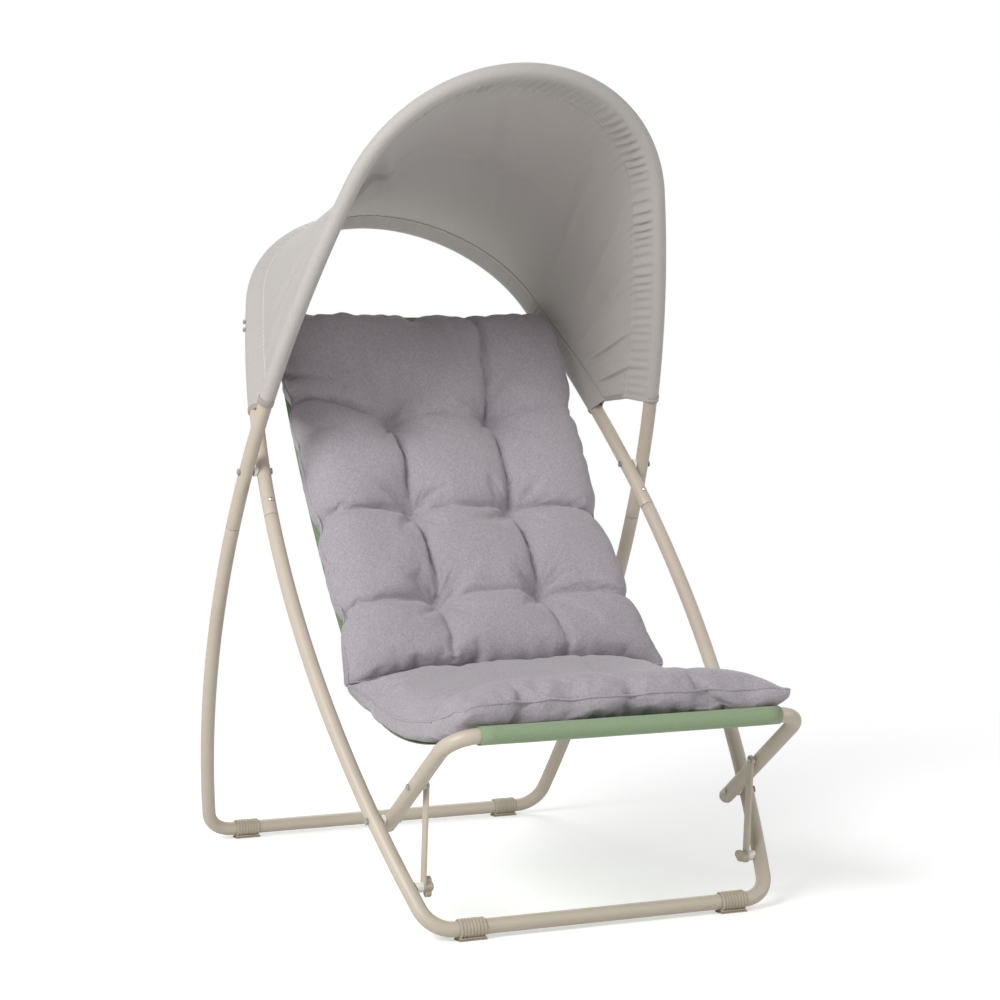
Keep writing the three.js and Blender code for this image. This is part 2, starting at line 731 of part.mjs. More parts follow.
function knobSolid() {
  const depth = KNOB_THICKNESS - 2 * KNOB_BEVEL;
  const wings = new THREE.ExtrudeGeometry(knobShape(), {
    depth,
    bevelThickness: KNOB_BEVEL,
    bevelSize: KNOB_BEVEL,
    bevelOffset: -KNOB_BEVEL,
    bevelSegments: 1,
    curveSegments: 4,
  }).applyMatrix4(SIDE_VIEW).translate(KNOB_BEVEL, 0, 0);
  const hub = turnedAlongX([
    [0, 0],
    [0, KNOB_HUB_RADIUS],
    [KNOB_THICKNESS, KNOB_HUB_RADIUS],
    [KNOB_THICKNESS + KNOB_HUB_RISE, KNOB_HUB_RADIUS * 0.75],
    [KNOB_THICKNESS + KNOB_HUB_RISE, 0],
  ]);
  const socket = turnedAlongX([
    [-CUT_OVERRUN, 0],
    [-CUT_OVERRUN, STUD_HEX_RADIUS + FIT_GAP],
    [STUD_SINK / 2 + FIT_GAP, STUD_HEX_RADIUS + FIT_GAP],
    [STUD_SINK / 2 + FIT_GAP, STUD_RADIUS + FIT_GAP],
    [STUD_SINK + FIT_GAP, STUD_RADIUS + FIT_GAP],
    [STUD_SINK + FIT_GAP, 0],
  ], ROUND_SIDES);
  return cut(join(wings, hub), socket);
}

// The stud's hex head sits in the knob and its shank passes through the link
function studSolid() {
  const head = new THREE.CylinderGeometry(STUD_HEX_RADIUS, STUD_HEX_RADIUS, STUD_SINK / 2, 6);
  head.rotateZ(Math.PI / 2).translate(STUD_SINK / 4, 0, 0);
  const shank = barAlongX(STUD_RADIUS, STUD_SINK, -FIT_GAP - LINK_THICKNESS);
  return join(head, shank);
}

function buildLinks() {
  const shape = linkShape();
  const knobGeometry = knobSolid();
  const studGeometry = studSolid();
  for (const side of SIDES) {
    const name = sideName(side);
    const link = new THREE.Group();
    link.position.set(0, linkTop.y, linkTop.z);
    link.rotation.x = linkTurn;
    lounger.add(link);
    const bar = extrudedAlongX(shape, side * linkInnerX, side * linkOuterX);
    add(link, `support_link_${name}`, bar, finish.frame);
    const knob = new THREE.Group();
    knob.position.set(side * (linkInnerX - FIT_GAP), linkFoot.y, linkFoot.z);
    knob.rotation.order = "ZXY";
    knob.rotation.z = side < 0 ? 0 : Math.PI;
    knob.rotation.x = side < 0 ? KNOB_TURN_LEFT : KNOB_TURN_RIGHT;
    lounger.add(knob);
    add(knob, `knob_${name}`, knobGeometry.clone(), finish.plastic);
    add(knob, `knob_stud_${name}`, studGeometry.clone(), finish.steel);
    const washer = saddleSpacer({
      tubeX: side * armX,
      flatX: side * (linkOuterX + FIT_GAP),
      z: LINK_RIVET_ALONG,
      lean: 0,
      radius: LINK_RIVET_HEAD_RADIUS,
      bore: LINK_RIVET_RADIUS + FIT_GAP,
    });
    add(seatFrame, `link_washer_${name}`, washer, finish.white);
    const pin = rivet(
      side * (linkInnerX - FIT_GAP),
      side * (armX + tube.radius + FIT_GAP),
      LINK_RIVET_RADIUS, LINK_RIVET_HEAD_RADIUS,
    ).translate(0, 0, LINK_RIVET_ALONG);
    add(seatFrame, `link_rivet_${name}`, pin, finish.steel);
    const spacer = saddleSpacer({
      tubeX: side * inner.sideX(knobZ),
      flatX: side * (linkOuterX + FIT_GAP),
      z: knobZ,
      lean: -side * inner.bowAngle(knobZ),
      radius: SPACER_RADIUS,
      bore: STUD_RADIUS + FIT_GAP,
    });
    add(innerFrame, `knob_spacer_${name}`, spacer, finish.white);
  }
}

// A snap button: a domed pin through the hoop and the swaged leg end. Drawn along X, facing out.
function buttonSolid() {
  return turnedAlongX([
    [spigot.bore - BUTTON_INNER_LENGTH, 0],
    [spigot.bore - BUTTON_INNER_LENGTH, BUTTON_RADIUS],
    [tube.radius + BUTTON_PROUD / 2, BUTTON_RADIUS],
    [tube.radius + BUTTON_PROUD, BUTTON_RADIUS / 2],
    [tube.radius + BUTTON_PROUD, 0],
  ], PIN_SIDES);
}

// The leaf spring under a button: a hairpin inside the swaged end
function springSolid() {
  const tip = spigot.bore - BUTTON_INNER_LENGTH - FIT_GAP;
  const root = tip - SPRING_SPREAD;
  const bend = -SPRING_LENGTH;
  const middle = (tip + root) / 2;
  const shape = new THREE.Shape();
  shape.moveTo(tip, BUTTON_RADIUS);
  shape.lineTo(tip, -BUTTON_RADIUS);
  shape.lineTo(middle + SPRING_THICKNESS, bend);
  shape.lineTo(middle - SPRING_THICKNESS, bend);
  shape.lineTo(root, BUTTON_RADIUS);
  shape.lineTo(root + SPRING_THICKNESS, BUTTON_RADIUS);
  shape.lineTo(middle, bend + 2 * SPRING_THICKNESS);
  shape.lineTo(tip - SPRING_THICKNESS, -BUTTON_RADIUS);
  shape.lineTo(tip - SPRING_THICKNESS, BUTTON_RADIUS);
  const strip = new THREE.ExtrudeGeometry(shape, { depth: SPRING_WIDTH, bevelEnabled: false });
  return strip.rotateX(Math.PI / 2).translate(0, SPRING_WIDTH / 2, 0);
}

function buildButtons() {
  const sets = [
    { frame: innerFrame, course: inner, z: innerButtonZ, facing: FRONT_FACE, end: "rear_hoop" },
    { frame: outerFrame, course: outer, z: outerButtonZ, facing: REAR_FACE, end: "front_hoop" },
  ];
  for (const { frame, course, z, facing, end } of sets) {
    for (const side of SIDES) {
      const name = `${end}_${sideName(side)}`;
      const x = side * course.sideX(z);
      const button = buttonSolid().rotateZ((facing * Math.PI) / 2).translate(x, 0, z);
      add(frame, `button_${name}`, button, finish.steel);
      const spring = springSolid().rotateZ((facing * Math.PI) / 2).translate(x, 0, z);
      add(frame, `button_spring_${name}`, spring, finish.steel);
    }
  }
}

// The flat crossbar between the sides of the rear hoop, its end plugs and its screws
function ovalPoints(halfDepth, halfThickness) {
  const points = [];
  const straight = halfDepth - halfThickness;
  for (const end of SIDES) {
    for (let i = 0; i <= ROUND_SIDES / 2; i++) {
      const angle = end * (Math.PI / 2) - Math.PI / 2 + (2 * Math.PI * i) / ROUND_SIDES;
      const y = halfThickness * Math.cos(angle);
      points.push(new THREE.Vector2(y, end * straight + halfThickness * Math.sin(angle)));
    }
  }
  return points;
}

const crossbar = {
  ...onInner(CROSSBAR_ABOVE),
  halfDepth: CROSSBAR_DEPTH / 2,
  half: CROSSBAR_THICKNESS / 2,
};
const crossbarEnd = inner.sideX(CROSSBAR_ABOVE + CROSSBAR_DEPTH / 2)
  - flank(inner, CROSSBAR_ABOVE + CROSSBAR_DEPTH / 2) - FIT_GAP;

function buildCrossbar() {
  const { halfDepth, half } = crossbar;
  const section = new THREE.Shape(ovalPoints(halfDepth, half));
  section.holes.push(new THREE.Path(ovalPoints(halfDepth - CROSSBAR_WALL, half - CROSSBAR_WALL)));
  const bar = extrudedAlongX(section, -crossbarEnd, crossbarEnd).translate(0, 0, CROSSBAR_ABOVE);
  add(innerFrame, "sling_crossbar", bar, finish.frame);
  const within = CROSSBAR_WALL + FIT_GAP;
  const plugSection = new THREE.Shape(ovalPoints(halfDepth - within, half - within));
  const screwZs = { lower: -SCREW_PITCH / 2, upper: SCREW_PITCH / 2 };
  for (const side of SIDES) {
    const name = sideName(side);
    const holes = Object.values(screwZs).map((z) => barAlongX(
      SCREW_RADIUS + FIT_GAP,
      side * (crossbarEnd - PLUG_LENGTH - CUT_OVERRUN),
      side * (crossbarEnd + CUT_OVERRUN),
      0, z, PIN_SIDES,
    ));
    const block = extrudedAlongX(plugSection, side * (crossbarEnd - PLUG_LENGTH), side * crossbarEnd);
    add(innerFrame, `crossbar_plug_${name}`, cut(block, ...holes), finish.plastic)
      .position.z = CROSSBAR_ABOVE;
    for (const [place, z] of Object.entries(screwZs)) {
      const height = CROSSBAR_ABOVE + z;
      const headX = inner.sideX(height) + flank(inner, height, SCREW_HEAD_RADIUS) + 2 * FIT_GAP + CLOTH;
      const screw = turnedAlongX([
        [crossbarEnd - SCREW_BITE, 0],
        [crossbarEnd - SCREW_BITE, SCREW_RADIUS],
        [headX, SCREW_RADIUS],
        [headX, SCREW_HEAD_RADIUS],
        [headX + SCREW_HEAD_HEIGHT / 2, SCREW_HEAD_RADIUS],
        [headX + SCREW_HEAD_HEIGHT, SCREW_HEAD_RADIUS / 2],
        [headX + SCREW_HEAD_HEIGHT, 0],
      ], PIN_SIDES);
      const placed = onSide(side, screw).translate(0, 0, height);
      add(innerFrame, `crossbar_screw_${name}_${place}`, placed, finish.steel);
    }
  }
}

// The sling's line seen from the side, in (Y, Z): a slack back, a crease and a hollow seat
const backDown = new THREE.Vector2(-Math.sin(BACK_LEAN), -Math.cos(BACK_LEAN));
const backFront = new THREE.Vector2(backDown.y, -backDown.x);
const crossbarTilt = (CROSSBAR_DEPTH / 2) * Math.sin(FRONT_LEG_LEAN - BACK_LEAN);
const slingOffset = CROSSBAR_THICKNESS / 2 + FIT_GAP + CLOTH / 2 + crossbarTilt;
const slingTop = new THREE.Vector2(crossbar.y, crossbar.z).addScaledVector(backFront, slingOffset);
const creaseStart = slingTop.clone().addScaledVector(backDown, BACK_RUN);
const backControl = slingTop.clone().lerp(creaseStart, 0.5).addScaledVector(backFront, -2 * BACK_BOW);
const creaseCorner = creaseStart.clone().sub(backControl).setLength(CREASE_RUN).add(creaseStart);
const tunnel = {
  bore: (tube.corner + FIT_GAP) / Math.cos(Math.PI / TUNNEL_SIDES),
  radius: (tube.corner + FIT_GAP) / Math.cos(Math.PI / TUNNEL_SIDES) + CLOTH,
};
const slingFront = new THREE.Vector2(frontBar.y + (tunnel.bore + tunnel.radius) / 2, frontBar.z);

// The part of the back's curve between two runs down from its top
function backCurve(fromRun, toRun) {
  const mix = (a, b) => slingTop.clone().multiplyScalar((1 - a) * (1 - b))
    .addScaledVector(backControl, (1 - a) * b + a * (1 - b))
    .addScaledVector(creaseStart, a * b);
  const from = fromRun / BACK_RUN;
  const to = toRun / BACK_RUN;
  return new THREE.QuadraticBezierCurve(mix(from, from), mix(from, to), mix(to, to));
}

function panControl(from, to) {
  const control = to.clone().sub(from).multiplyScalar(PAN_BACK_SHARE).add(from);
  control.y = Math.min(from.y, to.y) - PAN_DROP;
  return control;
}

const creaseOut = panControl(creaseCorner, slingFront).sub(creaseCorner).normalize()
  .multiplyScalar(CREASE_RUN).add(creaseCorner);

function slingLine() {
  const line = new THREE.Path();
  line.moveTo(slingTop.x, slingTop.y);
  line.quadraticCurveTo(backControl.x, backControl.y, creaseStart.x, creaseStart.y);
  line.quadraticCurveTo(creaseCorner.x, creaseCorner.y, creaseOut.x, creaseOut.y);
  const control = panControl(creaseCorner, slingFront);
  line.quadraticCurveTo(control.x, control.y, slingFront.x, slingFront.y);
  return line;
}

// A strip of even thickness along a line
function stripShape(points, thickness) {
  const sides = [[], []];
  points.forEach((point, i) => {
    const before = points[Math.max(i - 1, 0)];
    const after = points[Math.min(i + 1, points.length - 1)];
    const along = after.clone().sub(before).normalize();
    const normal = new THREE.Vector2(-along.y, along.x).multiplyScalar(thickness / 2);
    sides[0].push(point.clone().add(normal));
    sides[1].unshift(point.clone().sub(normal));
  });
  return new THREE.Shape([...sides[0], ...sides[1]]);
}

function buildSling() {
  const line = slingLine().getPoints(SLING_STEPS);
  const sheet = extrudedAlongX(stripShape(line, CLOTH), -slingHalfWidth, slingHalfWidth);
  const reach = slingHalfWidth + CUT_OVERRUN;
  const half = slingHalfWidth;
  const skin = barAlongX(tunnel.radius, -half, half, frontBar.y, frontBar.z, TUNNEL_SIDES);
  const bore = barAlongX(tunnel.bore, -reach, reach, frontBar.y, frontBar.z, TUNNEL_SIDES);
  const oval = (grow, halfLength) => {
    const points = ovalPoints(crossbar.halfDepth + grow, crossbar.half + grow);
    const solid = extrudedAlongX(new THREE.Shape(points), -halfLength, halfLength);
    return solid.rotateX(-FRONT_LEG_LEAN).translate(0, crossbar.y, crossbar.z);
  };
  const pocket = oval(FIT_GAP + CLOTH, half);
  const pocketBore = oval(FIT_GAP, reach);
  const sling = cut(join(sheet, skin, pocket), bore, pocketBore);
  add(lounger, "sling", sling, finish.sling);
}

// A closed surface over a grid: the top and the underside share the seam round the edge
function pillow(columns, rows, place) {
  const positions = [];
  const index = [];
  const top = [];
  const under = [];
  for (let r = 0; r <= rows; r++) {
    for (let c = 0; c <= columns; c++) {
      const u = (2 * c) / columns - 1;
      const v = (2 * r) / rows - 1;
      const onSeam = r === 0 || c === 0 || r === rows || c === columns;
      top.push(positions.length / 3);
      positions.push(...place(u, v, 1));
      under.push(onSeam ? top[top.length - 1] : positions.length / 3);
      if (!onSeam) positions.push(...place(u, v, -1));
    }
  }
  const stride = columns + 1;
  for (let r = 0; r < rows; r++) {
    for (let c = 0; c < columns; c++) {
      const a = r * stride + c;
      const quad = [a, a + 1, a + stride + 1, a + stride];
      const [d, e, f, g] = quad.map((i) => top[i]);
      index.push(d, f, e, d, g, f);
      const [h, j, k, l] = quad.map((i) => under[i]);
      index.push(h, j, k, h, k, l);
    }
  }
  const geometry = new THREE.BufferGeometry();
  geometry.setAttribute("position", new THREE.Float32BufferAttribute(positions, 3));
  geometry.setIndex(index);
  geometry.computeVertexNormals();
  return geometry;
}

// Spreads grid lines so that they crowd towards the edges, where the pillow rounds off
function crowded(t) {
  return Math.sin((Math.PI / 2) * t);
}

function roundOff(t) {
  return Math.sqrt(Math.max(0, 1 - Math.abs(t) ** 3.4));
}

// A crowned cushion laid along a line in (Y, Z). Its sides draw in between the corners.
function cushion({ line, thickness, seamShare, cornerInsets, tufts }) {
  const length = line.getLength();
  const seam = seamShare * thickness;
  return pillow(CUSHION_COLUMNS, CUSHION_ROWS, (gridU, gridV, face) => {
    const u = crowded(gridU);
    const v = crowded(gridV);
    const inset = v < 0 ? cornerInsets.start : cornerInsets.end;
    const halfWidth = cushionHalfWidth - SIDE_DRAW_IN * (1 - v * v) - inset * v ** CORNER_POWER;
    const endRoom = END_DRAW_IN * (1 - u * u) + inset * u ** CORNER_POWER;
    const along = THREE.MathUtils.lerp(endRoom, length - endRoom, (v + 1) / 2);
    const x = u * halfWidth;
    const swell = roundOff(u) * roundOff(v);
    let offset = CLOTH / 2 + CUSHION_LIFT + seam;
    offset += face > 0 ? (thickness - seam) * swell : -seam * swell;
    if (face > 0) {
      for (const tuft of tufts) {
        const away = Math.hypot(x - tuft.x, along - tuft.along) / TUFT_SPREAD;
        offset -= TUFT_DEPTH * swell * Math.exp(-away * away);
      }
    }
    const share = THREE.MathUtils.clamp(along / length, 0, 1);
    const point = line.getPointAt(share);
    const tangent = line.getTangentAt(share);
    return [x, point.x + tangent.y * offset, point.y - tangent.x * offset];
  });
}

function buildCushions() {
  const backLine = backCurve(BACK_CUSHION_TOP, BACK_CUSHION_END);
  const backTufts = [];
  for (let row = 0; row < TUFT_ROWS; row++) {
    for (const side of SIDES) {
      const along = TUFT_FIRST_ROW + row * TUFT_PITCH - BACK_CUSHION_TOP;
      backTufts.push({ x: side * TUFT_X, along });
    }
  }
  const back = cushion({
    line: backLine,
    thickness: BACK_CUSHION_THICKNESS,
    seamShare: BACK_SEAM_SHARE,
    cornerInsets: { start: TOP_CORNER_INSET, end: CORNER_INSET },
    tufts: backTufts,
  });
  add(lounger, "back_cushion", back, finish.cushion);
  const control = panControl(creaseCorner, slingFront);
  const start = control.clone().sub(creaseCorner).setLength(SEAT_CUSHION_START).add(creaseCorner);
  control.y -= SEAT_CUSHION_SETTLE;
  const end = new THREE.Vector2(frontBar.y - SEAT_CUSHION_OVERHANG, frontBar.z + tunnel.radius);
  const seatLine = new THREE.QuadraticBezierCurve(start, control, end);
  const seatTufts = SIDES.map((side) => ({ x: side * TUFT_X, along: SEAT_TUFT_ROW }));
  const seat = cushion({
    line: seatLine,
    thickness: SEAT_CUSHION_THICKNESS,
    seamShare: SEAT_SEAM_SHARE,
    cornerInsets: { start: CORNER_INSET, end: CORNER_INSET },
    tufts: seatTufts,
  });
  add(lounger, "seat_cushion", seat, finish.cushion);
}

// Canopy sleeves: a skin round each hoop with a sewn tail that the panel hangs on
function sleeveShape(tailAngle) {
  const points = [];
  const corner = sleeve.radius / Math.cos(Math.PI / TUBE_SIDES);
  const steps = TUBE_SIDES - 4;
  for (let i = 0; i <= steps; i++) {
    const angle = tailAngle + TAIL_OPENING + (2 * (Math.PI - TAIL_OPENING) * i) / steps;
    points.push(new THREE.Vector2(corner * Math.cos(angle), corner * Math.sin(angle)));
  }
  const along = new THREE.Vector2(Math.cos(tailAngle), Math.sin(tailAngle));
  const across = new THREE.Vector2(-along.y, along.x);
  points.push(along.clone().multiplyScalar(SLEEVE_TAIL).addScaledVector(across, -CLOTH));
  points.push(along.clone().multiplyScalar(SLEEVE_TAIL).addScaledVector(across, CLOTH));
  const shape = new THREE.Shape(points);
  shape.holes.push(new THREE.Path(roundPoints(sleeve.bore)));
  return shape;
}

// Section angles of the tails: 0 faces the front of a hoop, a quarter turn faces out of the loop
const frontTail = Math.PI + FRONT_TAIL_TURN;
const rearTail = -REAR_TAIL_TURN;

// A point of a hoop's section at a station, in the lounger's frame
function sectionPoint(frame, station, angle, distance) {
  const outward = new THREE.Vector3(station.tangent.z, 0, -station.tangent.x);
  const toFront = new THREE.Vector3(0, -1, 0);
  const point = station.point.clone()
    .addScaledVector(toFront, distance * Math.cos(angle))
    .addScaledVector(outward, distance * Math.sin(angle));
  frame.updateMatrixWorld();
  return point.applyMatrix4(frame.matrixWorld);
}

// The cloth between the sleeves, sagging inwards, with shallow creases
function panelPoint(rear, front, s, t) {
  const point = rear.clone().lerp(front, t);
  const inward = new THREE.Vector3(0, 0, outerFrame.position.z).sub(point).setY(0).normalize();
  const span = rear.distanceTo(front);
  const taut = Math.sin(Math.PI * t);
  const creases = Math.cos(2 * Math.PI * CREASE_COUNT * (s + (t - 0.5) / CREASE_COUNT));
  const depth = (PANEL_SAG * span) / (2 * OUTER_CROWN_RADIUS) - CREASE_DEPTH * creases;
  return point.addScaledVector(inward, depth * taut * Math.sin(Math.PI * s));
}

function clothSheet(columns, rows, thickness, pointAt) {
  const at = (c, r) => pointAt(c / columns, r / rows);
  const positions = [];
  for (const face of SIDES) {
    for (let r = 0; r <= rows; r++) {
      for (let c = 0; c <= columns; c++) {
        const along = at(Math.min(c + 1, columns), r).sub(at(Math.max(c - 1, 0), r));
        const across = at(c, Math.min(r + 1, rows)).sub(at(c, Math.max(r - 1, 0)));
        const normal = along.cross(across).normalize();
        positions.push(...at(c, r).addScaledVector(normal, (face * thickness) / 2).toArray());
      }
    }
  }
  const stride = columns + 1;
  const layer = stride * (rows + 1);
  const index = [];
  for (let r = 0; r < rows; r++) {
    for (let c = 0; c < columns; c++) {
      const a = r * stride + c;
      const [b, d, e] = [a + 1, a + stride + 1, a + stride];
      index.push(layer + a, layer + b, layer + d, layer + a, layer + d, layer + e);
      index.push(a, d, b, a, e, d);
    }
  }
  const rim = [];
  for (let c = 0; c < columns; c++) rim.push(c);
  for (let r = 0; r < rows; r++) rim.push(columns + r * stride);
  for (let c = columns; c > 0; c--) rim.push(rows * stride + c);
  for (let r = rows; r > 0; r--) rim.push(r * stride);
  rim.forEach((a, i) => {
    const b = rim[(i + 1) % rim.length];
    index.push(a, b, layer + b, a, layer + b, layer + a);
  });
  const geometry = new THREE.BufferGeometry();
  geometry.setAttribute("position", new THREE.Float32BufferAttribute(positions, 3));
  geometry.setIndex(index);
  geometry.computeVertexNormals();
  return geometry;
}

// The panel is ruled from each station of one hoop to the same station of the other
function buildCanopy() {
  const hem = {
    rear: hoopOver(inner, fromHem.rear),
    front: hoopOver(outer, fromHem.front),
  };
  const screws = [-SCREW_PITCH / 2, SCREW_PITCH / 2].flatMap((z) => crossHoles(
    inner, SCREW_RADIUS + FIT_GAP, CROSSBAR_ABOVE + z, sleeve.radius + CUT_OVERRUN,
  ));
  const barSection = new THREE.Shape(ovalPoints(crossbar.halfDepth + FIT_GAP, crossbar.half + FIT_GAP));
  const bar = extrudedAlongX(barSection, -inner.sideX(CROSSBAR_ABOVE), inner.sideX(CROSSBAR_ABOVE))
    .translate(0, 0, CROSSBAR_ABOVE);
  const rearSleeve = cut(swept(sleeveShape(rearTail), hem.rear), bar, ...screws);
  add(innerFrame, "canopy_rear_sleeve", rearSleeve, finish.canopy);
  add(outerFrame, "canopy_front_sleeve", swept(sleeveShape(frontTail), hem.front), finish.canopy);
  const seam = SLEEVE_TAIL + FIT_GAP + CLOTH / 2;
  const rearEdge = hem.rear.map((station) => sectionPoint(innerFrame, station, rearTail, seam));
  const frontEdge = hem.front.map((station) => sectionPoint(outerFrame, station, frontTail, seam));
  const columns = rearEdge.length - 1;
  const panel = clothSheet(columns, PANEL_ROWS, CLOTH, (s, t) => {
    const k = Math.round(s * columns);
    return panelPoint(rearEdge[k], frontEdge[k], s, t);
  });
  add(lounger, "canopy_panel", panel, finish.canopy);
}

buildLoops();
buildUpperPivots();
buildFeet();
buildSeatFrame();
buildSeatPivots();
buildLinks();
buildButtons();
buildCrossbar();
buildSling();
buildCushions();
buildCanopy();

// The origin is the bottom centre of the box round everything
const box = new THREE.Box3().setFromObject(lounger, true);
const middle = box.getCenter(new THREE.Vector3());
lounger.position.set(0, -middle.y, -box.min.z);

export default lounger;
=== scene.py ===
import math
from collections import namedtuple

import bmesh
import bpy
import numpy as np
from mathutils import Matrix, Vector, noise
from mathutils.bvhtree import BVHTree


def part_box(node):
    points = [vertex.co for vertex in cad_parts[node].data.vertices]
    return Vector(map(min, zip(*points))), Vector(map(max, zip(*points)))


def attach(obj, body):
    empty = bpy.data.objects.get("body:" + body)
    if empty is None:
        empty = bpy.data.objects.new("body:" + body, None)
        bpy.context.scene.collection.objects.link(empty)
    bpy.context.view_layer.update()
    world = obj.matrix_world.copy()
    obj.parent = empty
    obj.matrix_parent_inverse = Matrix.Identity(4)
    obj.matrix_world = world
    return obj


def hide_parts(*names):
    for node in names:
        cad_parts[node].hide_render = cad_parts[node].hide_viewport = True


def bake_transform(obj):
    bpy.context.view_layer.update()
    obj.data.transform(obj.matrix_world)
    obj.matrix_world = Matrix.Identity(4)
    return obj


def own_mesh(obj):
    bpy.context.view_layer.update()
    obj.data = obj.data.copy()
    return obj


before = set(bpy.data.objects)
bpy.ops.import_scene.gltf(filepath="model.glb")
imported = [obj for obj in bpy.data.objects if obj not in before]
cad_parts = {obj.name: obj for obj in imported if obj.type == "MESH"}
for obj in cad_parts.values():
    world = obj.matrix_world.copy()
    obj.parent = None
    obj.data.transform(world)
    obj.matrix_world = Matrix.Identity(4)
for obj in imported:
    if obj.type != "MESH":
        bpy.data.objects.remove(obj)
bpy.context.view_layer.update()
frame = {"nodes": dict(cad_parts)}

bl_info = {
    "name": "Canopy Lounger",
    "version": (1, 0, 0),
    "blender": (4, 5, 0),
    "location": "3D View > Sidebar > Lounger",
    "description": "Dresses a folding tube lounger with its sling, cushions and canopy",
    "category": "Object",
}

SIDES = {"left": -1, "right": 1}

# A pulled line of a cushion: from one place to another, with its depth, the share of it lost at its end, and its width
Crease = namedtuple("Crease", "start end depth fade width")
# A short pull-in of a cushion's edge: on its low or high side, where, and how deep
Notch = namedtuple("Notch", "side at depth")
# Small folds along a seam: along the ends or the sides, with their pitch, their depth and how far they run in
Gather = namedtuple("Gather", "where pitch depth reach")


def centre(node):
    low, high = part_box(node)
    return (low + high) / 2


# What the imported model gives: the places of the pivots and of the seat frame's ends, and the feet
PIVOT = centre("pivot_rivet_left")
SEAT_PIVOT = centre("seat_rivet_left")
ARM_X = centre("arm_cap_right").x
FEET = [f"{end}_foot_{side}" for end in ("front", "rear") for side in SIDES]


def linear(code):
    """Turns an sRGB hex colour into linear red, green and blue."""
    shares = [int(code[i:i + 2], 16) / 255 for i in (1, 3, 5)]
    return [c / 12.92 if c <= 0.04045 else ((c + 0.055) / 1.055) ** 2.4 for c in shares]


def length(name, description, default):
    return bpy.props.FloatProperty(name=name, description=description, default=default, unit="LENGTH", precision=4)


def angle(name, description, degrees):
    default = math.radians(degrees)
    return bpy.props.FloatProperty(name=name, description=description, default=default, subtype="ANGLE")


def share(name, description, default):
    return bpy.props.FloatProperty(name=name, description=description, default=default, subtype="FACTOR")


def count(name, description, default):
    return bpy.props.IntProperty(name=name, description=description, default=default)


def colour(name, description, code):
    return bpy.props.FloatVectorProperty(
        name=name, description=description, default=linear(code), subtype="COLOR", size=3, min=0, max=1)


class LoungerFrameSizes(bpy.types.PropertyGroup):
    """Sizes of the tube loops and of the seat frame."""
    tube_diameter: length("Tube", "Outside diameter of the frame tube", 0.022)
    tube_wall: length("Tube wall", "Wall thickness of the frame tube", 0.001)
    rim_round: length("Tube end rounding", "Rounding of the tube ends", 0.0004)
    tube_sides: count("Tube sides", "Faces round the tube", 28)
    leg_steps: count("Leg steps", "Rings along a leg", 40)
    corner_steps: count("Corner steps", "Rings round a bend of the floor bar", 14)
    hoop_steps: count("Hoop steps", "Rings along the side of a hoop", 30)
    crown_steps: count("Crown steps", "Rings over the top of a hoop", 64)
    arm_corner_steps: count("Arm corner steps", "Rings round a bend of the seat frame", 16)
    plug_steps: count("Plug steps", "Rings along a narrowed tube end", 6)
    bow_radius: length("Bow radius", "Radius of the bowed sides", 2.4)
    corner_radius: length("Corner radius", "Radius of the floor bar's bends", 0.045)
    front_leg_length: length("Front leg", "From the pivot down to the front floor bar", 0.814)
    front_leg_lean: angle("Front leg lean", "Lean of the front legs", 41.2)
    rear_leg_lean: angle("Rear leg lean", "Lean of the rear legs", 27.9)
    pivot_gap: length("Pivot gap", "Gap between the crossing tubes", 0.0065)
    outer_half_width: length("Outer half width", "Half the width of the outer loop", 0.352)
    outer_widest_below: length("Outer widest", "How far below the pivot the outer loop is widest", 0.205)
    outer_crown_radius: length("Front hoop crown", "Radius over the top of the front hoop", 0.262)
    outer_ring_below: length("Outer joint", "How far below the pivot the outer tubes join", 0.099)
    inner_widest_below: length("Inner widest", "How far below the pivot the inner loop is widest", 0.262)
    inner_crown_radius: length("Rear hoop crown", "Radius over the top of the rear hoop", 0.257)
    inner_ring_below: length("Inner joint", "How far below the pivot the inner tubes join", 0.089)
    joint_gap: length("Plug gap", "Slack between a narrowed tube end and the hoop round it", 0.0003)
    joint_line: length("Joint line", "Gap that shows where two tubes join", 0.0008)
    plug_length: length("Plug", "Length of the narrowed tube end inside the hoop", 0.045)
    plug_sink: length("Plug sink", "How far the plug starts inside its own tube", 0.012)
    arm_length: length("Arm", "From the lower pivot to the front bar", 0.251)
    arm_rise: angle("Arm rise", "How steeply the arms rise to the front bar", 34.6)
    arm_tail: length("Arm tail", "How far the arms run past the lower pivot", 0.018)
    arm_corner_radius: length("Arm corner", "Radius of the seat frame's bends", 0.042)
    crossbar_above: length("Crossbar", "How far above the pivot the crossbar is", 0.303)
    crossbar_depth: length("Crossbar depth", "Long side of the crossbar's section", 0.032)
    crossbar_thickness: length("Crossbar thickness", "Short side of the crossbar's section", 0.014)


class LoungerSlingSizes(bpy.types.PropertyGroup):
    """Sizes of the sling."""
    half_width: length("Half width", "Half the width of the sling", 0.232)
    cloth: length("Cloth", "Thickness of the sling cloth", 0.0012)
    fit_gap: length("Fit gap", "Slack round the bars", 0.0003)
    room: length("Room", "Half of the room that is kept for the cloth", 0.0008)
    ripple: length("Ripple", "Height of the cloth's unevenness", 0.0006)
    columns: count("Columns", "Faces across the sling", 24)
    back_lean: angle("Back lean", "Lean of the sling's back", 33.6)
    back_run: length("Back run", "Length of the straight back", 0.64)
    back_bow: length("Back bow", "How far the back hollows", 0.027)
    crease_run: length("Crease run", "Length of the turn between back and seat", 0.03)
    pan_drop: length("Pan drop", "Depth of the hollow seat", 0.078)
    pan_back_share: share("Pan low point", "Where the seat is lowest, from the back", 0.38)
    lap: length("Lap", "Cloth that lies past a stitch line", 0.014)
    stitch_from_bar: length("Stitch line", "How far the stitch lines are from the bars", 0.024)


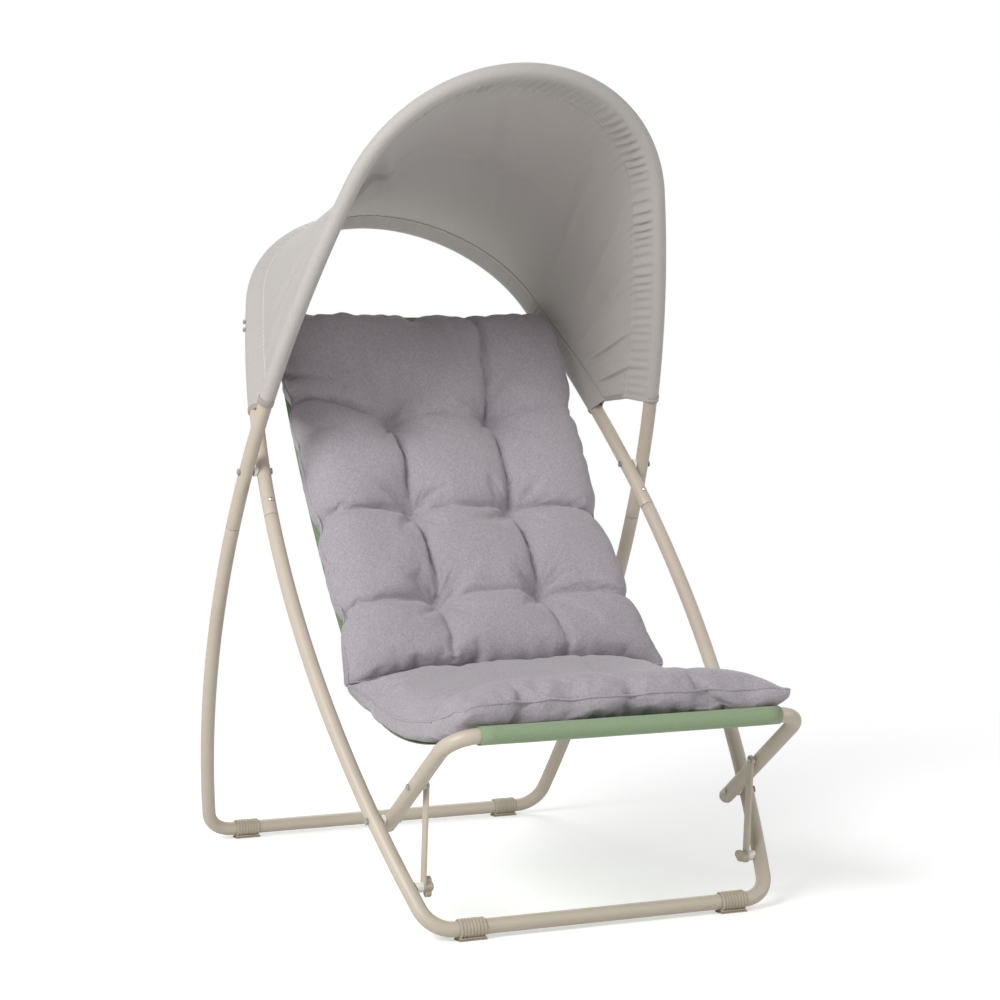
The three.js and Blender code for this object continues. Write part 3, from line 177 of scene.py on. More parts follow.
class LoungerCushionSizes(bpy.types.PropertyGroup):
    """Sizes of both cushions."""
    half_width: length("Half width", "Half the width of the cushions", 0.259)
    lift: length("Lift", "Gap above the sling", 0.0004)
    back_top: length("Back top", "Where the back cushion starts", -0.006)
    back_end: length("Back end", "Where the back cushion ends", 0.69)
    back_thickness: length("Back thickness", "Thickness of the back cushion before it swells", 0.08)
    seat_start: length("Seat start", "Where the seat cushion starts", 0.014)
    seat_overhang: length("Seat overhang", "How far the seat cushion passes the front bar", 0.011)
    seat_settle: length("Seat settle", "How far the seat cushion sinks into the pan", 0.006)
    seat_thickness: length("Seat thickness", "Thickness of the seat cushion before it swells", 0.064)
    side_draw_in: length("Side draw-in", "How far the sides pull in between the corners", 0.008)
    end_draw_in: length("End draw-in", "How far the ends pull in between the corners", 0.007)
    back_seam_share: share("Back seam", "Height of the back cushion's seam", 0.5)
    seat_seam_share: share("Seat seam", "Height of the seat cushion's seam", 0.5)
    tuft_x: length("Tuft spread", "Half the distance between the tuft columns", 0.084)
    tuft_first_row: length("First tufts", "First tuft row from the top of the sling", 0.215)
    tuft_pitch: length("Tuft pitch", "Distance between tuft rows", 0.169)
    tuft_depth: length("Tuft depth", "How deep the tufts pull", 0.044)
    seat_tuft_row: length("Seat tufts", "Tuft row of the seat cushion", 0.285)
    columns: count("Columns", "Faces across a cushion", 110)
    rows: count("Rows", "Faces along a cushion", 130)
    voxel: length("Remesh", "Size of the faces that the simulation works on", 0.006)
    swell_steps: count("Swell steps", "Frames of the simulation", 20)
    cord: length("Piping", "Radius of the cord in the seam", 0.0017)
    cord_steps: count("Piping steps", "Rings of the cord along each edge", 170)
    cord_sides: count("Piping sides", "Faces round the cord", 6)


class LoungerCanopySizes(bpy.types.PropertyGroup):
    """Sizes of the canopy."""
    cloth: length("Cloth", "Thickness of the canopy cloth", 0.001)
    hem_above: length("Hem", "How far above the pivot the hem is", 0.12)
    tail: length("Tail", "How far the cloth leaves a hoop before it turns", 0.0221)
    front_tail_turn: angle("Front turn", "How far the cloth turns in behind the front hoop", 45)
    rear_tail_turn: angle("Rear turn", "How far the cloth turns in before the rear hoop", 25)
    sag: length("Sag", "How far the cloth sags between the hoops", 0.014)
    crease_depth: length("Crease depth", "Depth of the long soft folds", 0.005)
    crease_count: count("Creases", "Long soft folds over the hood", 5)
    band: length("Band", "Width of the cloth turned back round the front hoop", 0.034)
    rear_band: length("Rear band", "Width of the cloth turned back round the rear hoop", 0.024)
    lap: length("Lap", "Cloth past the stitch line", 0.0045)
    pucker: length("Pucker", "Depth of the puckers in the front band", 0.0026)
    pucker_pitch: length("Pucker pitch", "Distance between puckers", 0.016)
    binding: length("Binding", "Width of the tape round the hem", 0.009)
    tape: length("Tape", "Thickness of the tape", 0.0006)
    tape_gap: length("Tape gap", "From the cloth's face to the middle of the tape", 0.0007)
    tape_drop: length("Tape drop", "How far the tape's fold hangs below the hem", 0.0016)
    tape_face: length("Tape face", "Length of the tape that one face is drawn as", 0.004)
    columns: count("Columns", "Faces over the hood", 460)
    rows: count("Rows", "Faces from hoop to hoop", 40)


class LoungerFeetSizes(bpy.types.PropertyGroup):
    """Sizes of the ribbed clips under the floor bars."""
    half_length: length("Half length", "Half the length of a clip along its bar", 0.02)
    ribs: count("Ribs", "Ribs round a clip", 8)
    skin_radius: length("Skin radius", "Radius of a clip between its ribs", 0.013)
    rib_height: length("Rib height", "How far a rib stands out", 0.001)
    bore: length("Bore", "Radius inside a clip", 0.0117)
    base_inset: length("Base inset", "How far the base stays inside the pad's edge", 0.0045)
    edge_round: length("Edge rounding", "Rounding of the base", 0.0008)
    rim: length("Rim", "Chamfer of the clip's ends", 0.0004)


class LoungerFinishes(bpy.types.PropertyGroup):
    """Colours of the finishes."""
    frame: colour("Frame", "Powder coat on the steel tube", "#C3B8A8")
    steel: colour("Steel", "Zinc-plated rivets and buttons", "#B4B2AC")
    nylon: colour("Nylon", "Spacers at the pivots", "#EDEBE6")
    plastic: colour("Plastic", "Feet, knobs and caps", "#B4A998")
    rubber: colour("Rubber", "Soft pads under the feet", "#A09585")
    sling: colour("Sling", "Woven sling cloth", "#8CA07E")
    cushion: colour("Cushion", "Melange cushion cover", "#A69FA6")
    canopy: colour("Canopy", "Coated canopy cloth", "#B8B3AE")
    tape: colour("Tape", "Hem tape", "#A39A93")
    floor: colour("Floor", "Floor and backdrop", "#F2F2F2")


class LoungerStage(bpy.types.PropertyGroup):
    """Camera and lights."""
    azimuth: angle("Azimuth", "Side that the camera looks from", -24.55)
    elevation: angle("Elevation", "Height that the camera looks from", 2.93)
    roll: angle("Roll", "Turn of the camera about its own axis", -0.23)
    lens: bpy.props.FloatProperty(name="Lens", description="Focal length", default=89.98, unit="CAMERA")
    place: bpy.props.FloatVectorProperty(
        name="Place", description="Where the camera is", default=(-1.58332, -3.52215, 0.78058), subtype="TRANSLATION")
    far: length("Backdrop", "Half the width of the floor", 9)
    fade_from: length("Fade from", "Where the floor starts to turn white", 0.9)
    fade_to: length("Fade to", "Where the floor is white", 2.2)
    floor_lift: share("Floor lift", "Glow that brings the lit floor to white for the camera", 0.36)
    ambient: share("Ambient", "Strength of the light from all round", 0.33)


# Materials


def add_node(tree, kind, inputs=None, **settings):
    """Adds a node with its settings. An input is given a value, or the socket that feeds it."""
    node = tree.nodes.new(kind)
    for name, value in settings.items():
        setattr(node, name, value)
    for name, value in (inputs or {}).items():
        if isinstance(value, bpy.types.NodeSocket):
            tree.links.new(value, node.inputs[name])
        else:
            node.inputs[name].default_value = value
    return node


def new_tree(name):
    """A new material's empty node tree."""
    material = bpy.data.materials.new(name)
    material.use_nodes = True
    material.node_tree.nodes.clear()
    return material.node_tree


def shade(tree, inputs):
    shader = add_node(tree, "ShaderNodeBsdfPrincipled", inputs)
    add_node(tree, "ShaderNodeOutputMaterial", {"Surface": shader.outputs[0]})


def maths(tree, operation, *values):
    return add_node(tree, "ShaderNodeMath", dict(enumerate(values)), operation=operation).outputs[0]


def noise_of(tree, place, grain, detail):
    """Patches of a real size."""
    inputs = {"Vector": place, "Scale": 1 / grain, "Detail": detail}
    return add_node(tree, "ShaderNodeTexNoise", inputs).outputs[0]


def shaded(tree, value, base, amount, start=0.0, end=1.0):
    """The base colour, darker by an amount below a start value and lighter by it above an end value."""
    ramp = add_node(tree, "ShaderNodeValToRGB", {"Fac": value})
    for element, at, factor in zip(ramp.color_ramp.elements, (start, end), (1 - amount, 1 + amount)):
        element.position = at
        element.color = (*[min(c * factor, 1) for c in base], 1)
    return ramp.outputs[0]


def varied(tree, place, base, grain, amount, detail=2.0):
    """The base colour, lighter and darker by an amount, in patches of a real size."""
    return shaded(tree, noise_of(tree, place, grain, detail), base, amount, 0.3, 0.7)


def bumped(tree, height, distance, strength, onto=None):
    inputs = {"Height": height, "Distance": distance, "Strength": strength}
    if onto:
        inputs["Normal"] = onto
    return add_node(tree, "ShaderNodeBump", inputs).outputs[0]


def ranged(tree, value, low, high):
    return add_node(tree, "ShaderNodeMapRange", {"Value": value, "To Min": low, "To Max": high}).outputs[0]


def object_place(tree):
    return add_node(tree, "ShaderNodeTexCoord").outputs["Object"]


def powder_coat(colours):
    # Powder coat on steel tube, sprayed and baked: an even satin skin with a very fine orange peel
    tree = new_tree("powder_coated_steel")
    place = object_place(tree)
    shade(tree, {
        "IOR": 1.5,
        "Base Color": varied(tree, place, colours.frame, grain=0.09, amount=0.035),
        "Roughness": ranged(tree, noise_of(tree, place, grain=0.03, detail=4.0), low=0.34, high=0.5),
        "Normal": bumped(tree, noise_of(tree, place, grain=0.0022, detail=2.0), distance=0.00025, strength=0.25),
    })


def plated_steel(colours):
    # Zinc-plated steel, cold headed: bright metal with fine turning marks and dull patches
    tree = new_tree("zinc_plated_steel")
    place = object_place(tree)
    marks = noise_of(tree, place, grain=0.0006, detail=3.0)
    shade(tree, {
        "Metallic": 1.0,
        "Base Color": varied(tree, place, colours.steel, grain=0.004, amount=0.12),
        "Roughness": ranged(tree, marks, low=0.22, high=0.45),
        "Normal": bumped(tree, marks, distance=0.0001, strength=0.2),
    })


def moulded(name, base, roughness, grain):
    """Moulded plastic or rubber with a fine spark-eroded grain."""
    tree = new_tree(name)
    place = object_place(tree)
    pits = add_node(tree, "ShaderNodeTexVoronoi", {"Vector": place, "Scale": 1 / grain}).outputs[0]
    shade(tree, {
        "IOR": 1.49,
        "Base Color": varied(tree, place, base, grain=0.02, amount=0.05),
        "Roughness": ranged(tree, pits, low=roughness - 0.06, high=roughness + 0.08),
        "Normal": bumped(tree, pits, distance=0.0002, strength=0.3),
    })


def cloth_place(tree):
    return add_node(tree, "ShaderNodeUVMap", uv_map="Cloth").outputs[0]


def wave_of(tree, value, pitch):
    """A sine along a length, once every pitch."""
    return maths(tree, "SINE", maths(tree, "MULTIPLY", value, 2 * math.pi / pitch))


def weave(tree, place, pitch):
    """Over and under threads at a pitch, along both ways of the cloth."""
    parts = add_node(tree, "ShaderNodeSeparateXYZ", {0: place}).outputs
    return maths(tree, "MULTIPLY", wave_of(tree, parts[0], pitch), wave_of(tree, parts[1], pitch))


DASH_FROM = -0.35  # The thread shows where the stitch's wave is above this


def dashes(tree, along, away, offset, stitch, thread):
    """One where a sewing thread shows: short dashes along a line that lies at an offset."""
    apart = maths(tree, "ABSOLUTE", maths(tree, "SUBTRACT", away, offset))
    line = maths(tree, "LESS_THAN", apart, thread / 2)
    dash = maths(tree, "GREATER_THAN", wave_of(tree, along, stitch), DASH_FROM)
    return maths(tree, "MULTIPLY", line, dash)


def woven_cloth(name, base, pitch, roughness, seams, stitch_colour):
    """A woven cloth with sewn seams: each seam is an attribute and the offset of its thread."""
    tree = new_tree(name)
    place = cloth_place(tree)
    body = varied(tree, place, base, grain=0.0035, amount=0.05, detail=4.0)
    normal = bumped(tree, weave(tree, place, pitch), distance=pitch * 0.12, strength=0.35)
    along = add_node(tree, "ShaderNodeSeparateXYZ", {0: place}).outputs[0]
    sewn = 0.0
    for attribute, offset in seams:
        away = add_node(tree, "ShaderNodeAttribute", attribute_name=attribute).outputs["Fac"]
        sewn = maths(tree, "MAXIMUM", sewn, dashes(tree, along, away, offset, stitch=0.0045, thread=0.0019))
    mixed = add_node(tree, "ShaderNodeMix", {"Factor": sewn, 6: body, 7: (*stitch_colour, 1)}, data_type="RGBA")
    shade(tree, {
        "IOR": 1.5,
        "Roughness": roughness,
        "Sheen Weight": 0.18,
        "Sheen Roughness": 0.5,
        "Base Color": mixed.outputs[2],
        "Normal": bumped(tree, sewn, distance=0.0005, strength=0.6, onto=normal),
    })


def melange(colours):
    # Melange cover, cotton and polyester yarns of several greys woven plain: a soft, heathered face
    tree = new_tree("melange_cotton_blend")
    place = object_place(tree)
    flecks = []
    # Yarns along and across
    for stretch in ((1, 0.25, 0.25), (0.25, 1, 1)):
        along = add_node(tree, "ShaderNodeMapping", {0: place, 3: stretch}).outputs[0]
        flecks.append(noise_of(tree, along, grain=0.0011, detail=3.0))
    both = maths(tree, "ADD", *flecks)
    fleck = add_node(tree, "ShaderNodeMapRange", {"Value": both, "From Min": 0.75, "From Max": 1.25}).outputs[0]
    shade(tree, {
        "IOR": 1.45,
        "Roughness": 0.92,
        "Sheen Weight": 0.25,
        "Sheen Roughness": 0.6,
        "Base Color": shaded(tree, fleck, colours.cushion, amount=0.2),
        "Normal": bumped(tree, fleck, distance=0.0006, strength=0.35),
    })


def make_finishes(context):
    colours = context.scene.lounger_finishes
    stitch = [min(c * 1.5, 1) for c in colours.canopy]
    sling_stitch = [min(c * 1.15, 1) for c in colours.sling]
    powder_coat(colours)
    plated_steel(colours)
    # Nylon, injection moulded: pale and faintly waxy
    moulded("moulded_nylon", colours.nylon, roughness=0.45, grain=0.0009)
    # Polypropylene, injection moulded with a fine grain: matt and even
    moulded("moulded_polypropylene", colours.plastic, roughness=0.5, grain=0.0009)
    # Thermoplastic rubber, moulded: dull and soft
    moulded("moulded_rubber", colours.rubber, roughness=0.75, grain=0.0012)
    # Solution-dyed polyester, plain weave at 1.1 mm: firm and matt, with a visible thread
    woven_cloth("woven_polyester_sling", colours.sling, pitch=0.0011, roughness=0.8,
                seams=[("seam", 0.0), ("seam", 0.006)], stitch_colour=sling_stitch)
    melange(colours)
    # Coated polyester, close plain weave drawn at 0.9 mm: smooth, with a low sheen
    woven_cloth("coated_polyester_canopy", colours.canopy, pitch=0.0009, roughness=0.62,
                seams=[("front_seam", 0.0), ("front_seam", 0.0055), ("rear_seam", 0.0)], stitch_colour=stitch)
    # Polyester tape, ribbed across: a darker edge, drawn at 1.5 mm
    woven_cloth("woven_polyester_tape", colours.tape, pitch=0.0015, roughness=0.8,
                seams=[("seam", 0.0)], stitch_colour=stitch)


def finish(name):
    return bpy.data.materials[name]


# Shapes that several pieces share


def piece_of(bm, name, material, crisp=0.6):
    """Makes an object of a finished mesh: smooth, with edges sharper than an angle kept crisp."""
    for face in bm.faces:
        face.smooth = True
    for edge in bm.edges:
        if len(edge.link_faces) == 2 and edge.calc_face_angle(0) > crisp:
            edge.smooth = False
    mesh = bpy.data.meshes.new(name)
    bm.to_mesh(mesh)
    bm.free()
    made = bpy.data.objects.new(name, mesh)
    bpy.context.scene.collection.objects.link(made)
    mesh.materials.append(finish(material))
    return made


class Course:
    """The line of one tube loop in its own plane, from the pivot axis, and where that plane stands."""

    def __init__(self, sizes, half_width, widest_below, crown_radius, ring_below, leg_length, lean):
        bow = sizes.bow_radius
        self.bow_radius = bow
        self.bow_x = half_width - bow
        self.bow_z = -widest_below
        self.crown_radius = crown_radius
        self.crown_z = self.bow_z + math.sqrt((bow - crown_radius) ** 2 - self.bow_x ** 2)
        self.crown_angle = math.atan2(self.crown_z - self.bow_z, -self.bow_x)
        self.ring_z = -ring_below
        self.corner_z = -leg_length + sizes.corner_radius
        rest = (bow - sizes.corner_radius) ** 2 - (self.corner_z - self.bow_z) ** 2
        self.corner_x = self.bow_x + math.sqrt(rest)
        self.corner_angle = math.atan2(self.corner_z - self.bow_z, self.corner_x - self.bow_x)
        self.stand = Matrix.Translation((0, PIVOT.y, PIVOT.z)) @ Matrix.Rotation(lean, 4, "X")
        self.home = self.stand.inverted()

    def bow_angle(self, z):
        return math.asin((z - self.bow_z) / self.bow_radius)

    def side_x(self, z):
        return self.bow_x + self.bow_radius * math.cos(self.bow_angle(z))

    def at(self, z):
        """A point of the loop's plane at the pivot's width, in the lounger's frame."""
        return self.stand @ Vector((0, 0, z))

    def station(self, hem, side_share, s):
        """Point and outward way at a share of the way over the hoop, from the right hem to the left."""
        if s > 0.5:
            point, outward = self.station(hem, side_share, 1 - s)
            return Vector((-point.x, 0, point.z)), Vector((-outward.x, 0, outward.z))
        if s < side_share:
            low = self.bow_angle(hem)
            turn = low + (self.crown_angle - low) * s / side_share
            centre_x, centre_z, radius = self.bow_x, self.bow_z, self.bow_radius
        else:
            turn = self.crown_angle + (math.pi / 2 - self.crown_angle) * (s - side_share) / (0.5 - side_share)
            centre_x, centre_z, radius = 0, self.crown_z, self.crown_radius
        outward = Vector((math.cos(turn), 0, math.sin(turn)))
        return Vector((centre_x, 0, centre_z)) + outward * radius, outward


def courses(sizes):
    drop = sizes.front_leg_length * math.cos(sizes.front_leg_lean)
    outer = Course(
        sizes, sizes.outer_half_width, sizes.outer_widest_below, sizes.outer_crown_radius,
        sizes.outer_ring_below, drop / math.cos(sizes.rear_leg_lean), sizes.rear_leg_lean)
    pivot_x = outer.side_x(0) - sizes.tube_diameter - sizes.pivot_gap
    bulge = sizes.bow_radius - math.sqrt(sizes.bow_radius ** 2 - sizes.inner_widest_below ** 2)
    inner = Course(
        sizes, pivot_x + bulge, sizes.inner_widest_below, sizes.inner_crown_radius,
        sizes.inner_ring_below, sizes.front_leg_length, -sizes.front_leg_lean)
    return inner, outer


def tube_ring(bm, sizes, at, along, outside, inside):
    """A flat ring of faces square to a tube's course, to be drawn out into the tube."""
    place = Matrix.Translation(at) @ along.to_track_quat("Z", "X").to_matrix().to_4x4()
    edges = []
    for radius in (outside, inside):
        rim = bmesh.ops.create_circle(bm, cap_ends=False, radius=radius, segments=sizes.tube_sides, matrix=place)
        edges.extend({edge for vert in rim["verts"] for edge in vert.link_edges})
    return bmesh.ops.bridge_loops(bm, edges=edges)["faces"]


def side_ring(bm, sizes, course, z, way):
    """The ring that a loop's tube is drawn from, up or down its right side. Gives its angle on the bow too."""
    turn = course.bow_angle(z)
    outward = Vector((math.cos(turn), 0, math.sin(turn)))
    at = Vector((course.bow_x, 0, course.bow_z)) + outward * course.bow_radius
    radius = sizes.tube_diameter / 2
    along = Vector((-outward.z, 0, outward.x)) * way
    return tube_ring(bm, sizes, at, along, radius, radius - sizes.tube_wall), turn


def bend_on(bm, faces, centre_x, centre_z, start, end, steps):
    """Draws the last ring round a centre in the loop's plane, from one angle to another."""
    turned = bmesh.ops.spin(
        bm, geom=faces, cent=(centre_x, 0, centre_z), axis=(0, -1, 0), angle=end - start, steps=steps,
        use_merge=False, use_duplicate=False)
    return [part for part in turned["geom_last"] if isinstance(part, bmesh.types.BMFace)]


def run_on(bm, faces, way):
    """Draws the last ring straight on."""
    grown = bmesh.ops.extrude_face_region(bm, geom=faces)["geom"]
    bmesh.ops.translate(bm, vec=way, verts=[part for part in grown if isinstance(part, bmesh.types.BMVert)])
    return [part for part in grown if isinstance(part, bmesh.types.BMFace)]


def close_tube(bm, sizes, stand):
    """Rounds the ends of a drawn tube and stands it in its place."""
    bmesh.ops.remove_doubles(bm, verts=bm.verts, dist=1e-6)
    bmesh.ops.recalc_face_normals(bm, faces=bm.faces)
    rims = [edge for edge in bm.edges if len(edge.link_faces) == 2 and edge.calc_face_angle(0) > 1.2]
    bmesh.ops.bevel(
        bm, geom=rims, offset=sizes.rim_round, offset_type="OFFSET", affect="EDGES", segments=2, profile=0.5,
        material=-1)
    bmesh.ops.transform(bm, matrix=stand, verts=bm.verts)


def plug_tubes(bm, sizes, course):
    """The narrowed ends of a leg tube inside the hoop: one short tube on each side."""
    outside = sizes.tube_diameter / 2 - sizes.tube_wall - sizes.joint_gap
    low = course.ring_z - sizes.plug_sink
    high = course.ring_z + sizes.plug_length
    for side in SIDES.values():
        start, end = course.bow_angle(low), course.bow_angle(high)
        if side < 0:
            start, end = math.pi - start, math.pi - end
        outward = Vector((math.cos(start), 0, math.sin(start)))
        bow = Vector((side * course.bow_x, 0, course.bow_z))
        along = Vector((-outward.z, 0, outward.x)) * math.copysign(1, end - start)
        faces = tube_ring(bm, sizes, bow + outward * course.bow_radius, along, outside, outside - sizes.tube_wall)
        bend_on(bm, faces, bow.x, bow.z, start, end, sizes.plug_steps)


def draw_legs(sizes, course, name, body, node):
    """One bent tube from joint to joint, down the leg, along the floor and up the other leg."""
    bm = bmesh.new()
    faces, start = side_ring(bm, sizes, course, course.ring_z - sizes.joint_line, -1)
    corner, floor = course.corner_angle, -math.pi / 2
    far = -math.pi - corner
    faces = bend_on(bm, faces, course.bow_x, course.bow_z, start, corner, sizes.leg_steps)
    faces = bend_on(bm, faces, course.corner_x, course.corner_z, corner, floor, sizes.corner_steps)
    faces = run_on(bm, faces, Vector((-2 * course.corner_x, 0, 0)))
    faces = bend_on(bm, faces, -course.corner_x, course.corner_z, floor, far, sizes.corner_steps)
    bend_on(bm, faces, -course.bow_x, course.bow_z, far, -math.pi - start, sizes.leg_steps)
    plug_tubes(bm, sizes, course)
    close_tube(bm, sizes, course.stand)
    legs = piece_of(bm, name, "powder_coated_steel")
    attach(legs, body)
    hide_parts(node)


def draw_hoop(sizes, course, name, body, node):
    """One bent tube from joint to joint over the top."""
    bm = bmesh.new()
    faces, start = side_ring(bm, sizes, course, course.ring_z, 1)
    far = math.pi - course.crown_angle
    faces = bend_on(bm, faces, course.bow_x, course.bow_z, start, course.crown_angle, sizes.hoop_steps)
    faces = bend_on(bm, faces, 0, course.crown_z, course.crown_angle, far, sizes.crown_steps)
    bend_on(bm, faces, -course.bow_x, course.bow_z, far, math.pi - start, sizes.hoop_steps)
    close_tube(bm, sizes, course.stand)
    hoop = piece_of(bm, name, "powder_coated_steel")
    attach(hoop, body)
    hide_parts(node)


def turned_piece(bm, profile, place, sides=40):
    """Spins a profile of (along, radius) pairs about the X axis, then stands it in its place."""
    verts = [bm.verts.new((along, 0, radius)) for along, radius in profile]
    edges = [bm.edges.new(pair) for pair in zip(verts, verts[1:])]
    bmesh.ops.spin(
        bm, geom=verts + edges, cent=(0, 0, 0), axis=(1, 0, 0), angle=2 * math.pi, steps=sides, use_merge=True,
        use_duplicate=False)
    bmesh.ops.remove_doubles(bm, verts=bm.verts, dist=1e-6)
    bmesh.ops.recalc_face_normals(bm, faces=bm.faces)
    bmesh.ops.transform(bm, matrix=place, verts=bm.verts)


class LOUNGER_OT_loops(bpy.types.Operator):
    """Draws the two crossing tube loops: the legs and the hoops that plug onto them"""
    bl_idname = "lounger.loops"
    bl_label = "Tube loops"

    def execute(self, context):
        sizes = context.scene.lounger_frame
        inner, outer = courses(sizes)
        draw_legs(sizes, inner, "front_leg_tube", "inner_frame", "front_leg_frame")
        draw_legs(sizes, outer, "rear_leg_tube", "outer_frame", "rear_leg_frame")
        draw_hoop(sizes, inner, "rear_hoop_tube", "inner_frame", "rear_hoop")
        draw_hoop(sizes, outer, "front_hoop_tube", "outer_frame", "front_hoop")
        return {"FINISHED"}


def seat_stand(sizes):
    return Matrix.Translation((0, SEAT_PIVOT.y, SEAT_PIVOT.z)) @ Matrix.Rotation(math.pi / 2 - sizes.arm_rise, 4, "X")


class LOUNGER_OT_seat_frame(bpy.types.Operator):
    """Draws the bent seat frame that hangs between the front legs"""
    bl_idname = "lounger.seat_frame"
    bl_label = "Seat frame"

    def execute(self, context):
        sizes = context.scene.lounger_frame
        radius = sizes.tube_diameter / 2
        corner = sizes.arm_corner_radius
        bm = bmesh.new()
        end = Vector((ARM_X, 0, -sizes.arm_tail))
        high = sizes.arm_length - corner
        straight = Vector((0, 0, high + sizes.arm_tail))
        steps = sizes.arm_corner_steps
        faces = tube_ring(bm, sizes, end, Vector((0, 0, 1)), radius, radius - sizes.tube_wall)
        faces = run_on(bm, faces, straight)
        faces = bend_on(bm, faces, ARM_X - corner, high, 0, math.pi / 2, steps)
        faces = run_on(bm, faces, Vector((-2 * (ARM_X - corner), 0, 0)))
        faces = bend_on(bm, faces, corner - ARM_X, high, math.pi / 2, math.pi, steps)
        run_on(bm, faces, -straight)
        close_tube(bm, sizes, seat_stand(sizes))
        seat = piece_of(bm, "seat_tube", "powder_coated_steel")
        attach(seat, "seat_frame")
        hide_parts("seat_frame")
        return {"FINISHED"}


# Lines and sheets of the soft pieces


def curve_point(controls, t):
    """A point of a quadratic curve."""
    a, b, c = controls
    return a * (1 - t) ** 2 + b * 2 * t * (1 - t) + c * t ** 2


def curve_points(controls, steps):
    return [curve_point(controls, i / steps) for i in range(steps + 1)]


def part_of_curve(controls, start, end):
    """The controls of a stretch of a quadratic curve."""
    a, b, c = controls

    def mix(p, q):
        return a * (1 - p) * (1 - q) + b * ((1 - p) * q + p * (1 - q)) + c * p * q
    return mix(start, start), mix(start, end), mix(end, end)


def seat_bar(sizes):
    """Middle of the front bar, in (Y, Z)."""
    return Vector((
        SEAT_PIVOT.y - sizes.arm_length * math.cos(sizes.arm_rise),
        SEAT_PIVOT.z + sizes.arm_length * math.sin(sizes.arm_rise)))


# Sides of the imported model's front bar, and of the tunnel round it
BAR_SIDES = 12
TUNNEL_SIDES = 18


def tunnel_radius(sizes, sling):
    """Radius of the sling's tunnel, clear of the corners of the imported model's bar."""
    corner = sizes.tube_diameter / 2 / math.cos(math.pi / BAR_SIDES)
    return (corner + sling.fit_gap) / math.cos(math.pi / TUNNEL_SIDES)


class SlingLine:
    """The line of the sling seen from the side, in (Y, Z): a slack back, a turn and a hollow seat."""

    def __init__(self, sizes, sling):
        inner, _ = courses(sizes)
        bar = inner.at(sizes.crossbar_above)
        self.crossbar = Vector((bar.y, bar.z))
        lean = sling.back_lean
        down = Vector((-math.sin(lean), -math.cos(lean)))
        front = Vector((down.y, -down.x))
        tilt = sizes.crossbar_depth / 2 * math.sin(sizes.front_leg_lean - lean)
        offset = sizes.crossbar_thickness / 2 + sling.fit_gap + sling.room + tilt
        self.top = self.crossbar + front * offset
        start = self.top + down * sling.back_run
        hollow = (self.top + start) / 2 - front * (2 * sling.back_bow)
        corner = start + (start - hollow).normalized() * sling.crease_run
        self.bar = seat_bar(sizes)
        self.front = Vector((self.bar.x + tunnel_radius(sizes, sling) + sling.room, self.bar.y))
        self.corner = corner
        self.room = sling.room
        control = corner + (self.front - corner) * sling.pan_back_share
        control.y = min(corner.y, self.front.y) - sling.pan_drop
        out = corner + (control - corner).normalized() * sling.crease_run
        self.back = (self.top, hollow, start)
        self.turn = (start, corner, out)
        self.pan = (out, control, self.front)
        self.back_run = sling.back_run

    def back_part(self, start, end):
        return part_of_curve(self.back, start / self.back_run, end / self.back_run)


def arc_points(middle, radius, start, end, steps):
    return [middle + Vector((math.cos(a), math.sin(a))) * radius
            for a in (start + (end - start) * i / steps for i in range(steps + 1))]


# Steps along the back and the seat, round the turn, round the tunnel and over the pocket
LONG_STEPS, TURN_STEPS, TUNNEL_STEPS, POCKET_STEPS = 40, 8, 28, 12


def sling_path(sizes, sling):
    """The sling's whole section: pocket, back, turn, seat and tunnel. Gives it with its stitch places."""
    line = SlingLine(sizes, sling)
    gap = sling.cloth + sling.fit_gap
    main = curve_points(line.back, LONG_STEPS)[:-1] + curve_points(line.turn, TURN_STEPS)[:-1]
    main += curve_points(line.pan, LONG_STEPS)
    # The pan stops a little before the bar, where the tunnel is stitched
    stitch = next(p for p in reversed(main) if (p - line.front).length > sling.stitch_from_bar)
    main = main[:main.index(stitch) + 1]
    radius = tunnel_radius(sizes, sling) + sling.cloth / 2
    toward = stitch - line.bar
    facing = math.atan2(toward.y, toward.x)
    open_by = math.acos(radius / toward.length)
    wrap = arc_points(line.bar, radius, facing + open_by, facing - open_by + 2 * math.pi, TUNNEL_STEPS)
    before = main[-6] - main[-1]
    under = Vector((before.y, -before.x)).normalized()
    if under.y > 0:
        under = -under
    lap_from = stitch + under * gap
    lap_to = lap_from + before.normalized() * sling.lap
    rise = [stitch.lerp(wrap[0], i / 4) for i in range(1, 4)]
    fall = [wrap[-1].lerp(lap_from, i / 4) for i in range(1, 4)]
    tunnel = rise + wrap + fall + [lap_from, lap_from.lerp(lap_to, 0.5), lap_to]
    # The pocket goes over the crossbar and comes down behind it
    lean = sizes.front_leg_lean
    up = Vector((math.sin(lean), math.cos(lean)))
    ahead = Vector((-up.y, up.x))
    half = sizes.crossbar_thickness / 2 + sling.fit_gap + sling.cloth / 2
    straight = sizes.crossbar_depth / 2 - sizes.crossbar_thickness / 2
    over = [line.crossbar + up * (straight + half * math.sin(turn)) - ahead * (half * math.cos(turn))
            for turn in (math.pi * i / POCKET_STEPS for i in range(POCKET_STEPS + 1))]
    low = line.crossbar - up * (straight + half * 0.6) - ahead * (half * 0.75)
    sewn = curve_point(line.back, 0.035)
    behind = sewn - ahead * gap
    lap_end = behind + (main[3] - main[1]).normalized() * sling.lap
    pocket = [lap_end, behind.lerp(lap_end, 0.5), behind, low, line.crossbar - ahead * half] + over
    return pocket + main[1:] + tunnel, sewn, stitch


def path_lengths(points):
    lengths = [0.0]
    for a, b in zip(points, points[1:]):
        lengths.append(lengths[-1] + (b - a).length)
    return lengths


